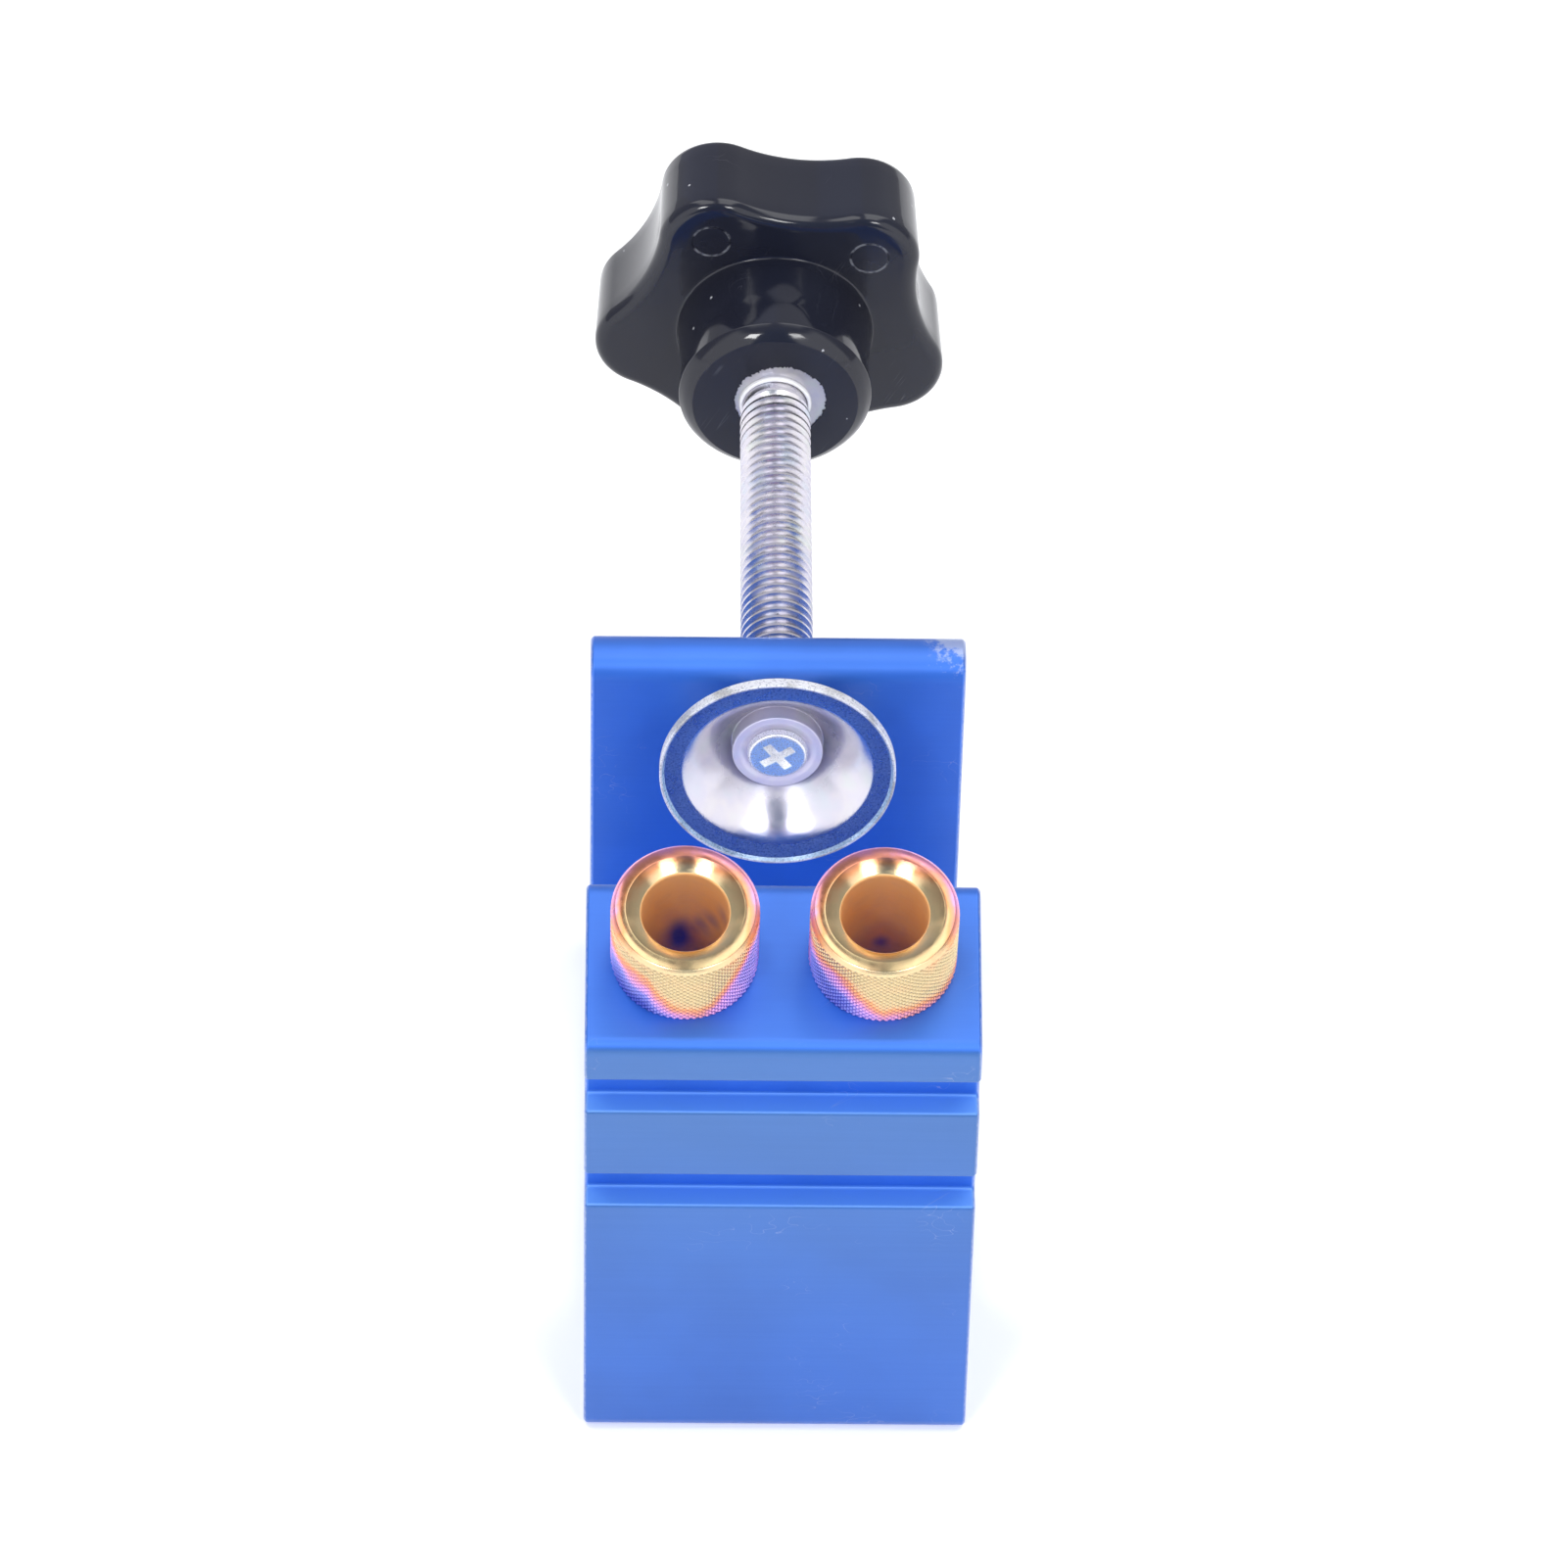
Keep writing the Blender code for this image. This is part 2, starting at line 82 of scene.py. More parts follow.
# %% Skin rings of points with faces
def skin(rings, closed=False):
    """Vertices and faces of a surface over rings of points. A ring of one point is a pole."""
    starts = np.cumsum([0] + [len(ring) for ring in rings])
    faces = []
    pairs = list(zip(range(len(rings)), range(1, len(rings))))
    if closed:
        pairs.append((len(rings) - 1, 0))
    for a, b in pairs:
        count = max(len(rings[a]), len(rings[b]))
        for i in range(count):
            j = (i + 1) % count
            low = [starts[a]] if len(rings[a]) == 1 else [starts[a] + i, starts[a] + j]
            high = [starts[b]] if len(rings[b]) == 1 else [starts[b] + j, starts[b] + i]
            faces.append(low + high)
    return np.concatenate(rings), faces


def turn(profile, steps):
    """Rings of points for a profile of (radius, height) pairs, turned about Z."""
    angles = np.arange(steps) * math.tau / steps
    circle = np.stack([np.cos(angles), np.sin(angles)], 1)
    rings = []
    for radius, height in profile:
        if radius < 1e-9:
            rings.append(np.array([[0.0, 0.0, height]]))
        else:
            rings.append(np.column_stack([circle * radius, np.full(steps, height)]))
    return rings


def fillet(corners, step=math.radians(12.0)):
    """An open path through corners of (x, y, radius), with each inner corner rounded by an arc."""
    path = [tuple(corners[0][:2])]
    for before, (x, y, radius), after in zip(corners, corners[1:], corners[2:]):
        here = Vector((x, y))
        back = (Vector(before[:2]) - here).normalized()
        ahead = (Vector(after[:2]) - here).normalized()
        half = back.angle(ahead) / 2
        if radius <= 0 or half > math.radians(89.0):
            path.append((x, y))
            continue
        reach = radius / math.tan(half)
        centre = here + (back + ahead).normalized() * radius / math.sin(half)
        first, last = here + back * reach - centre, here + ahead * reach - centre
        sweep = first.angle_signed(last)
        count = max(2, math.ceil(abs(sweep) / step))
        for i in range(count + 1):
            turned = first.copy()
            turned.rotate(Matrix.Rotation(-sweep * i / count, 2))
            path.append(tuple(centre + turned))
    path.append(tuple(corners[-1][:2]))
    return path


print("a filleted corner has", len(fillet([(0, 0, 0), (1, 0, 0.2), (1, 1, 0)])), "points")

# %% [markdown]
# A finished mesh becomes a piece of the jig: it gets its place, its finish, smooth shading up to an
# angle, and the body of the frame that it rides on. Edges sharper than the angle stay crisp.

# %% Make a piece from vertices and faces
def make_mesh(name, vertices, faces, masks=None):
    """A welded mesh with its faces turned outwards. Masks are values for each vertex."""
    mesh = bpy.data.meshes.new(name)
    mesh.from_pydata([tuple(v) for v in vertices], [], faces)
    for mask, values in (masks or {}).items():
        layer = mesh.attributes.new(mask, "FLOAT", "POINT")
        layer.data.foreach_set("value", np.asarray(values, np.float32))
    bm = bmesh.new()
    bm.from_mesh(mesh)
    bmesh.ops.remove_doubles(bm, verts=bm.verts, dist=0.0008 * MM)
    bmesh.ops.recalc_face_normals(bm, faces=bm.faces)
    bm.to_mesh(mesh)
    bm.free()
    return mesh


def make_piece(mesh, place, material, body, slot, *nodes):
    """Links the mesh at its place, and says what it rides on and what it replaces. The slot is not
    used.
    """
    mesh.shade_smooth()
    mesh.set_sharp_from_angle(angle=SMOOTH_BELOW)
    mesh.materials.clear()
    mesh.materials.append(material)
    piece = bpy.data.objects.new(mesh.name, mesh)
    bpy.context.scene.collection.objects.link(piece)
    piece.matrix_world = place
    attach(piece, body)
    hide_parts(*nodes)
    print(f"{piece.name}: {len(mesh.polygons)} faces, rides {body}, stands for {', '.join(nodes)}")
    return piece


def cut(mesh, tool):
    """The mesh with the tool's mesh cut from it."""
    target = bpy.data.objects.new("target", mesh)
    cutter = bpy.data.objects.new("cutter", tool)
    for obj in (target, cutter):
        bpy.context.scene.collection.objects.link(obj)
    step = target.modifiers.new("cut", "BOOLEAN")
    step.operation, step.object, step.solver = "DIFFERENCE", cutter, "EXACT"
    graph = bpy.context.evaluated_depsgraph_get()
    result = bpy.data.meshes.new_from_object(target.evaluated_get(graph))
    result.name = mesh.name
    bpy.data.objects.remove(target)
    bpy.data.objects.remove(cutter)
    return result

# %% [markdown]
# ## Camera
# The photograph was taken with a long lens from in front and above, at almost 45 degrees, and the
# picture is rolled by a little over one degree. The place and the lens come from fitting the jig's
# measured edges, so the camera is written down as those numbers.

# %% Camera
CAMERA_ELEVATION = math.radians(45.09)
CAMERA_YAW = math.radians(1.28)
CAMERA_ROLL = math.radians(1.39)
CAMERA_AIM = Vector((0.2689, 20.0, 56.59)) * MM
CAMERA_DISTANCE = 949.8 * MM
CAMERA_LENS = 210.55

ahead = Vector((
    math.sin(CAMERA_YAW) * math.cos(CAMERA_ELEVATION),
    math.cos(CAMERA_YAW) * math.cos(CAMERA_ELEVATION),
    -math.sin(CAMERA_ELEVATION),
))
right = Vector((math.cos(CAMERA_YAW), -math.sin(CAMERA_YAW), 0.0))
up = right.cross(ahead)
level = Matrix((right, up, -ahead)).transposed()
camera = bpy.data.objects.new("camera", bpy.data.cameras.new("camera"))
camera.data.lens = CAMERA_LENS
camera.matrix_world = (
    Matrix.Translation(CAMERA_AIM - ahead * CAMERA_DISTANCE)
    @ level.to_4x4()
    @ Matrix.Rotation(CAMERA_ROLL, 4, "Z")
)
bpy.context.scene.collection.objects.link(camera)
bpy.context.scene.camera = camera
bpy.context.scene.view_settings.view_transform = "Standard"
print("camera at", [round(v, 3) for v in camera.matrix_world.translation])

# %% [markdown]
# ## Building materials from nodes
# A material is a small network. These helpers add one node, or one common step, and give back its
# output, so that a network reads as a few lines from the pattern to the shader. New nodes go into
# the network that was started last.

# %% Node helpers
building = []       # the last node tree in this list takes the new nodes


def add(kind, sockets=None, **settings):
    """Adds a node. A socket takes a number, a colour or another node's output."""
    tree = building[-1]
    made = tree.nodes.new("ShaderNode" + kind)
    for name, value in settings.items():
        setattr(made, name, value)
    for key, value in (sockets or {}).items():
        if isinstance(value, bpy.types.NodeSocket):
            tree.links.new(value, made.inputs[key])
        elif made.inputs[key].type == "RGBA":
            made.inputs[key].default_value = (*value[:3], 1.0)
        else:
            made.inputs[key].default_value = value
    return made


def sums(operation, *values):
    return add("Math", dict(enumerate(values)), operation=operation).outputs[0]


def plus(*values):
    return sums("ADD", *values)


def minus(*values):
    return sums("SUBTRACT", *values)


def times(*values):
    return sums("MULTIPLY", *values)


def spread(value, low, high, start=0.0, end=1.0):
    """Maps low to high of the value onto start to end with a smooth step, held at both ends."""
    sockets = {"Value": value, 1: low, 2: high, 3: start, 4: end}
    return add("MapRange", sockets, interpolation_type="SMOOTHSTEP").outputs[0]


def blend(factor, first, second, mode="MIX"):
    sockets = {0: factor, 6: first, 7: second}
    return add("Mix", sockets, data_type="RGBA", blend_type=mode).outputs[2]


def ramp(value, stops):
    """A colour ramp through stops of (place, colour)."""
    made = add("ValToRGB", {0: value})
    while len(made.color_ramp.elements) < len(stops):
        made.color_ramp.elements.new(1.0)
    for element, (place, colour) in zip(made.color_ramp.elements, stops):
        element.position, element.color = place, (*colour, 1.0)
    return made.outputs[0]


def cloud(vector, scale, detail=2.0, roughness=0.5):
    """A noise pattern's value."""
    sockets = {"Vector": vector, "Scale": scale, "Detail": detail, "Roughness": roughness}
    return add("TexNoise", sockets).outputs[0]


def stretch(vector, scale):
    """The vector scaled along its three axes, to draw a pattern out along one of them."""
    return add("VectorMath", {0: vector, 1: scale}, operation="MULTIPLY").outputs[0]


def bump(height, depth, strength=1.0, normal=None):
    sockets = {"Height": height, "Distance": depth, "Strength": strength}
    if normal:
        sockets["Normal"] = normal
    return add("Bump", sockets).outputs[0]


def place_of():
    return add("TexCoord").outputs["Object"]


def axes_of(vector):
    return add("SeparateXYZ", {0: vector}).outputs


def distance(vector, point):
    """How far the vector's place is from a point."""
    made = add("VectorMath", {0: vector, 1: point}, operation="DISTANCE")
    return made.outputs["Value"]


def from_axis(vector):
    """How far the vector's place is from the Z axis, for what was turned."""
    x, y, _ = axes_of(vector)
    return distance(add("CombineXYZ", {0: x, 1: y}).outputs[0], (0.0, 0.0, 0.0))


def mask_of(name):
    return add("Attribute", attribute_name=name).outputs["Fac"]


def new_material(name, **sockets):
    """A material with its Principled shader, whose constant values are set on its own sockets."""
    material = bpy.data.materials.new(name)
    material.use_nodes = True
    building.append(material.node_tree)
    shader = material.node_tree.nodes["Principled BSDF"]
    for key, value in sockets.items():
        shader.inputs[key.replace("_", " ")].default_value = value
    return material, shader


def feed(shader, **values):
    """Links each value to the shader's socket of that name."""
    for key, value in values.items():
        building[-1].links.new(value, shader.inputs[key.replace("_", " ")])


def effect(name, inputs, outputs, build):
    """A shared effect as a node group. Inputs are (name, kind, start value), outputs (name, kind)."""
    tree = bpy.data.node_groups.new(name, "ShaderNodeTree")
    building.append(tree)
    for label, kind, value in inputs:
        socket = tree.interface.new_socket(name=label, in_out="INPUT", socket_type="NodeSocket" + kind)
        if value is not None:
            socket.default_value = value
    for label, kind in outputs:
        tree.interface.new_socket(name=label, in_out="OUTPUT", socket_type="NodeSocket" + kind)
    entry, leave = tree.nodes.new("NodeGroupInput"), tree.nodes.new("NodeGroupOutput")
    for label, socket in build(entry.outputs).items():
        tree.links.new(socket, leave.inputs[label])
    print("effect", name, "takes", [i[0] for i in inputs], "gives", [o[0] for o in outputs])
    return tree

# %% [markdown]
# ## Shared effects
# Dust, scratches and worn edges show on every part of a used tool. Each is a node group, so a
# material only states how large and how strong it is. Dust is a few cells of a Voronoi pattern,
# each with a small bright spot at its point.

# %% Dust specks
def build_dust(given):
    cells = add("TexVoronoi", {"Vector": given["Vector"], "Scale": given["Scale"]})
    chosen = sums("LESS_THAN", cells.outputs["Color"], given["Share"])
    ragged = cloud(given["Vector"], 9000.0)
    size = times(given["Size"], plus(ragged, 0.2))
    spot = sums("LESS_THAN", cells.outputs["Distance"], size)
    return {"Mask": times(chosen, spot)}


DUST = effect(
    "dust_specks",
    [
        ("Vector", "Vector", None), ("Scale", "Float", 200.0),
        ("Share", "Float", 0.2), ("Size", "Float", 0.08),
    ],
    [("Mask", "Float")],
    build_dust,
)

# %% [markdown]
# A hairline scratch is a long thin line that starts and stops. A noise pattern that is drawn out
# along one direction has long contour lines, and a narrow band round one contour gives the line. A
# second, coarser noise keeps only stretches of it.

# %% Hairline scratches
def build_scratches(given):
    turned = add("VectorRotate", {"Vector": given["Vector"], "Angle": given["Angle"]})
    drawn = stretch(turned.outputs[0], (1.0, 0.025, 1.0))
    lines = add("TexNoise", {"Vector": drawn, "Scale": given["Scale"], "Detail": 1.0})
    off_line = sums("ABSOLUTE", minus(lines.outputs[0], 0.5))
    line = spread(off_line, 0.0, 0.006, 1.0, 0.0)
    kept = spread(cloud(given["Vector"], 130.0), given["Start"], 0.7)
    return {"Mask": times(line, kept)}


SCRATCHES = effect(
    "hairline_scratches",
    [
        ("Vector", "Vector", None), ("Scale", "Float", 900.0),
        ("Angle", "Float", 0.3), ("Start", "Float", 0.55),
    ],
    [("Mask", "Float")],
    build_scratches,
)

# %% [markdown]
# Edges wear first, in nicks rather than in an even line. The group takes the distance to the
# nearest edge and lets a fine noise eat into it, so the worn band has a ragged border.

# %% Worn edges
def build_wear(given):
    ragged = times(cloud(given["Vector"], given["Scale"], 4.0, 0.7), given["Width"])
    worn = minus(ragged, given["Distance"])
    return {"Mask": spread(worn, 0.0, times(given["Width"], 0.25))}


WEAR = effect(
    "worn_edge",
    [
        ("Vector", "Vector", None), ("Distance", "Float", 1.0),
        ("Width", "Float", 0.5 * MM), ("Scale", "Float", 900.0),
    ],
    [("Mask", "Float")],
    build_wear,
)

# %% [markdown]
# Bright plating is never one grey. Its film shimmers from blue to violet to straw, in soft patches.
# The group turns two noises into such a tint around a base colour.

# %% Plating shimmer
def build_shimmer(given):
    patches = cloud(given["Vector"], given["Scale"], 3.0, 0.6)
    tint = ramp(patches, [
        (0.30, (0.86, 0.92, 1.00)),
        (0.45, (0.93, 0.90, 1.00)),
        (0.55, (1.00, 0.96, 1.00)),
        (0.68, (0.97, 1.00, 0.97)),
        (0.80, (1.00, 0.98, 0.90)),
    ])
    return {"Colour": blend(given["Strength"], given["Colour"], tint, "MULTIPLY")}


SHIMMER = effect(
    "plating_shimmer",
    [
        ("Vector", "Vector", None), ("Colour", "Color", (0.8, 0.8, 0.8, 1.0)),
        ("Scale", "Float", 300.0), ("Strength", "Float", 1.0),
    ],
    [("Colour", "Color")],
    build_shimmer,
)


def use(group, **sockets):
    """Places a shared effect in a material and gives its first output."""
    return add("Group", sockets, node_tree=group).outputs[0]

# %% [markdown]
# ## The anodised body
# The body is one aluminium extrusion, cut to 40 mm, drilled, and then anodised: the metal is dyed
# through a clear oxide film. So it is a metal with a blue colour, under a thin coat that adds a
# pale reflection of the room. Die lines run along the extrusion, which is across the jig, and the
# cut ends have saw marks. The finish could be plain blue metal, but then the front would miss its
# milky look, so the coat is modelled too. The front face also gets a painted reflection: its blue
# is made darker and greyer, with a grey sheen that is densest at its top. The ledges of the two
# grooves face up and get painted light: they are paler and less like bare metal.

# %% Anodised aluminium
BODY_HALF_WIDTH, BLOCK_FRONT, BLOCK_FRONT_HEIGHT = 20.0 * MM, -19.4 * MM, 58.4 * MM
SCUFFED_CORNER = (BODY_HALF_WIDTH, 52.0 * MM, 46.8 * MM)
GROOVED_BELOW = BLOCK_FRONT_HEIGHT - 1.4 * MM
DYE_DEEP = (0.023, 0.148, 0.620)
DYE_LIGHT = (0.028, 0.168, 0.690)
# The next three colours paint light: a grey sheen and a darker, greyer tint for the front face, as a
# painted reflection, and a paler blue for the up-facing ledges, as painted light.
FRONT_SHEEN_COLOUR = (0.056, 0.172, 0.380)
LEDGE_LIGHT = (0.100, 0.300, 0.800)
FRONT_SHADE_TINT = (0.70, 0.78, 0.78)
BARE = (0.62, 0.66, 0.74)

anodised, shader = new_material(
    "blue_anodised_aluminium", Coat_Weight=0.8, Coat_Roughness=0.35, Coat_IOR=1.5
)
where = place_of()
x, y, z = axes_of(where)
patches = cloud(where, 60.0, 3.0)
die_lines = cloud(stretch(where, (0.02, 1.0, 1.0)), 2600.0, 4.0, 0.65)
grain = cloud(where, 9000.0, 2.0)
saw_marks = cloud(stretch(where, (1.0, 0.06, 1.0)), 5200.0, 3.0)
from_end = minus(BODY_HALF_WIDTH, sums("ABSOLUTE", x))
on_end = spread(from_end, 0.0, 0.06 * MM, 1.0, 0.0)
nicks = use(WEAR, Vector=where, Distance=from_end, Width=0.42 * MM, Scale=1400.0)
scratched = use(SCRATCHES, Vector=where, Scale=700.0, Angle=0.9, Start=0.58)
dusty = use(DUST, Vector=where, Scale=160.0, Share=0.10, Size=0.05)
from_corner = distance(where, SCUFFED_CORNER)
scuffed = use(WEAR, Vector=where, Distance=from_corner, Width=9.0 * MM, Scale=1100.0)
colour = blend(spread(patches, 0.35, 0.65), DYE_DEEP, DYE_LIGHT)
in_front = spread(y, BLOCK_FRONT + 0.4 * MM, BLOCK_FRONT + 0.1 * MM)
# Painted reflection: the front face is made darker and greyer, then gets a grey sheen that grows
# towards its top.
colour = blend(in_front, colour, FRONT_SHADE_TINT, "MULTIPLY")
front_sheen = times(in_front, spread(z, 8.0 * MM, 52.0 * MM, 0.05, 0.55))
colour = blend(front_sheen, colour, FRONT_SHEEN_COLOUR)
# Painted light: the up-facing ledges inside the grooves get a paler blue, and further down, less
# metal.
near_front = spread(y, BLOCK_FRONT + 3.4 * MM, BLOCK_FRONT + 2.9 * MM)
near_front = times(sums("LESS_THAN", z, GROOVED_BELOW), near_front)
at_front = spread(y, BLOCK_FRONT + 0.2 * MM, BLOCK_FRONT + 0.05 * MM)
in_grooves = sums("MAXIMUM", minus(near_front, at_front), 0.0)
facing_up = axes_of(add("NewGeometry").outputs["Normal"])[2]
lit_ledge = times(in_grooves, spread(facing_up, 0.5, 0.9))
colour = blend(lit_ledge, colour, LEDGE_LIGHT)
colour = blend(times(scratched, 0.25), colour, BARE)
nicked = times(nicks, spread(on_end, 0.0, 1.0, 0.35, 0.04))
bare = sums("MAXIMUM", nicked, times(scuffed, 0.5))
colour = blend(sums("MAXIMUM", bare, times(dusty, 0.8)), colour, BARE)
rough = spread(die_lines, 0.3, 0.7, 0.46, 0.54)
rough = plus(rough, times(on_end, 0.1))
marks = blend(on_end, die_lines, saw_marks)
relief = bump(marks, 0.004 * MM, 0.6)
relief = bump(grain, 0.002 * MM, 0.5, relief)
metal = minus(0.65, times(lit_ledge, 0.45))
feed(shader, Base_Color=colour, Metallic=metal, Roughness=rough, Normal=relief)
print("anodised body: dye", DYE_DEEP[:3], "to", DYE_LIGHT[:3])

# %% [markdown]
# The frame's solid has the right shape, but its edges are razor sharp and its fillets are faceted.
# So the piece is made from that solid: faces in one plane are joined again, each sharp edge is
# broken by a small bevel, as a deburred edge is, and large faces keep their own normals beside the
# small ones. Faces within a third of a degree of each other count as one plane.

# %% Body with broken edges
EDGE_BREAK, SAME_PLANE = 0.15 * MM, math.radians(0.3)

solid = frame["nodes"]["jig_body"].data
corners, facets = [v.co for v in solid.vertices], [list(f.vertices) for f in solid.polygons]
body_mesh = make_mesh("anodised_extrusion", corners, facets)
bm = bmesh.new()
bm.from_mesh(body_mesh)
bmesh.ops.dissolve_limit(bm, angle_limit=SAME_PLANE, verts=bm.verts, edges=bm.edges)
sharp = [e for e in bm.edges if e.is_manifold and e.calc_face_angle() > SMOOTH_BELOW]
bmesh.ops.bevel(
    bm, geom=sharp, offset=EDGE_BREAK, segments=2, profile=0.5, affect="EDGES", clamp_overlap=True
)
bm.to_mesh(body_mesh)
bm.free()
body_piece = make_piece(body_mesh, Matrix(), anodised, "frame", "anodised_body", "jig_body")
flats = body_piece.modifiers.new("flats", "WEIGHTED_NORMAL")
flats.keep_sharp = True
print("broken edges:", len(sharp))

# %% [markdown]
# ## Drill bushes
# Each bush is a hardened steel sleeve with a knurled head and a gold coating. Heat from the coating
# bath tinted it: gold in front, then orange, magenta, violet and blue towards the foot. A diamond
# knurl could be bump only, but its points catch the light and break the outline, so it is real
# geometry: two sets of crossing grooves in a fine grid. Six steps a diamond keep the grooves on the
# grid's own diagonals. A smooth ring stays above the knurl, and a countersink leads into the bore.

# %% Sizes of a bush
BUSH_TILT = math.radians(15.0)
BUSH_SPACING = 20.0 * MM
BLOCK_BACK_HEIGHT = BLOCK_FRONT_HEIGHT - BLOCK_FRONT * math.tan(BUSH_TILT)
SEAT_DROP = 9.4 * MM
HEAD_RADIUS, HEAD_HEIGHT, HEAD_FOOT = 7.5 * MM, 9.8 * MM, 0.06 * MM
BORE_RADIUS, MOUTH_RADIUS = 4.4 * MM, 6.0 * MM
SHANK_RADIUS, SHANK_LENGTH = 5.75 * MM, 9.0 * MM
RING_EDGE, BEVEL_DEPTH = 7.0 * MM, 0.6 * MM
DIAMONDS, STEPS_PER_DIAMOND, KNURL_DEPTH = 68, 6, 0.22 * MM
KNURL_LOW, KNURL_HIGH = 0.14 * MM, 9.25 * MM
CROWN = 0.65            # the share of the bevel's fall that comes from its curve

seat_y = -SEAT_DROP * math.cos(BUSH_TILT)
seat_z = BLOCK_BACK_HEIGHT - SEAT_DROP * math.sin(BUSH_TILT)
seats = {
    side: Matrix.Translation((x, seat_y, seat_z)) @ Matrix.Rotation(BUSH_TILT, 4, "X")
    for side, x in (("left", -BUSH_SPACING / 2), ("right", BUSH_SPACING / 2))
}
print("bush seats:", {side: [round(v / MM, 2) for v in m.translation] for side, m in seats.items()})

# %% Rings of a bush
def head_radius(height):
    """The head's outer radius without its knurl: a crowned bevel above, a short one at the foot."""
    down = np.clip((HEAD_HEIGHT - np.asarray(height)) / BEVEL_DEPTH, 0.0, 1.0)
    straight = 1.0 - CROWN
    out = (np.sqrt(straight**2 + 4 * CROWN * down) - straight) / (2 * CROWN)
    bevel = RING_EDGE + (HEAD_RADIUS - RING_EDGE) * out
    foot = HEAD_RADIUS - 0.15 * MM + 1.5 * (height - HEAD_FOOT)
    return np.minimum(np.minimum(bevel, foot), HEAD_RADIUS)


def bush_rings():
    """Rings up the bore, over the head, down its knurl and back along the shank."""
    columns = DIAMONDS * STEPS_PER_DIAMOND
    bevel = [(float(head_radius(z)), z, 0) for z in np.linspace(HEAD_HEIGHT, KNURL_HIGH, 7)]
    bore_heights = np.linspace(0.8 * MM - SHANK_LENGTH, HEAD_HEIGHT - 1.8 * MM, 28)
    inside = fillet([
        (SHANK_RADIUS, -SHANK_LENGTH, 0),
        (BORE_RADIUS, -SHANK_LENGTH, 0.2 * MM),
        *[(BORE_RADIUS, z, 0) for z in bore_heights],
        (BORE_RADIUS, HEAD_HEIGHT - 0.95 * MM, 0.4 * MM),
        (MOUTH_RADIUS, HEAD_HEIGHT, 0.12 * MM),
        *bevel,
    ])
    rings = turn(inside[1:], columns)
    pitch = math.tau * HEAD_RADIUS / DIAMONDS
    rows = round((KNURL_HIGH - KNURL_LOW) / pitch * STEPS_PER_DIAMOND)
    around = np.arange(columns)
    for row in range(rows + 1):
        height = KNURL_HIGH + (KNURL_LOW - KNURL_HIGH) * row / rows
        up_line = np.abs(((around + row) / STEPS_PER_DIAMOND) % 1.0 - 0.5) * 2
        down_line = np.abs(((around - row) / STEPS_PER_DIAMOND) % 1.0 - 0.5) * 2
        point = 1.0 - np.maximum(up_line, down_line)
        radius = HEAD_RADIUS - KNURL_DEPTH * (1.0 - np.minimum(1.0, 1.5 * point))
        radius = np.minimum(radius, head_radius(height))
        angles = around * math.tau / columns
        rings.append(np.stack(
            [np.cos(angles) * radius, np.sin(angles) * radius, np.full(columns, height)], 1
        ))
    outside = fillet([
        (HEAD_RADIUS, KNURL_LOW, 0),
        (float(head_radius(HEAD_FOOT)), HEAD_FOOT, 0),
        (SHANK_RADIUS, HEAD_FOOT, 0),
        (SHANK_RADIUS, -SHANK_LENGTH, 0),
    ])
    return rings + turn(outside[1:], columns)


rings = bush_rings()
print("a bush has", len(rings), "rings of", len(rings[0]), "points")

# %% [markdown]
# The heat tint of each bush is painted as a value from 0, gold, to 1, blue. It could be a gradient
# in the material, but each bush met the bath's heat in its own way. So it is worked out for each
# vertex. On the knurl it rises below a wavy line, up to a limit: both are given in mm and as values
# at a few angles from the front. On the ring it is a faint blush at the back. In the bore each spot
# is an angle and a height, their spreads, and a strength.

# %% Paint the heat tint
TINT_ANGLES = {
    "left": [-180, -90, -65, -30, -10, 10, 20, 40, 60, 80, 180],
    "right": [-180, -90, -75, -60, -45, -30, -15, 0, 30, 60, 180],
}
TINT_LINES = {
    "left": [7, 6.8, 6.6, 6.0, 2.6, 1.0, 2.0, 5.8, 9.0, 10.2, 9],
    "right": [8, 7.4, 7.2, 7.2, 7.2, 6.2, 4.0, 1.6, 1.8, 1.4, 4],
}
TINT_LIMITS = {
    "left": [0.45, 0.50, 1.00, 1.00, 0.66, 0.42, 0.46, 0.54, 0.64, 0.60, 0.45],
    "right": [0.40, 0.45, 0.74, 0.80, 0.86, 0.80, 0.58, 0.42, 0.36, 0.34, 0.35],
}
TINT_START, TINT_FADE, TINT_GRAIN = 0.22, 7.0, 420.0
BORE_SPOTS = {
    "left": [
        (7.0, -3.9, 18.0, 3.0, 1.15), (-8.0, -2.4, 12.0, 1.6, 0.5), (-22.0, -0.8, 12.0, 1.4, 0.45),
        (-40.0, 1.2, 14.0, 1.4, 0.42), (-60.0, 4.2, 14.0, 1.6, 0.35),
    ],
    "right": [(0.0, -4.8, 11.0, 1.2, 0.7)],
}


def held(value):
    return min(1.0, max(0.0, value))


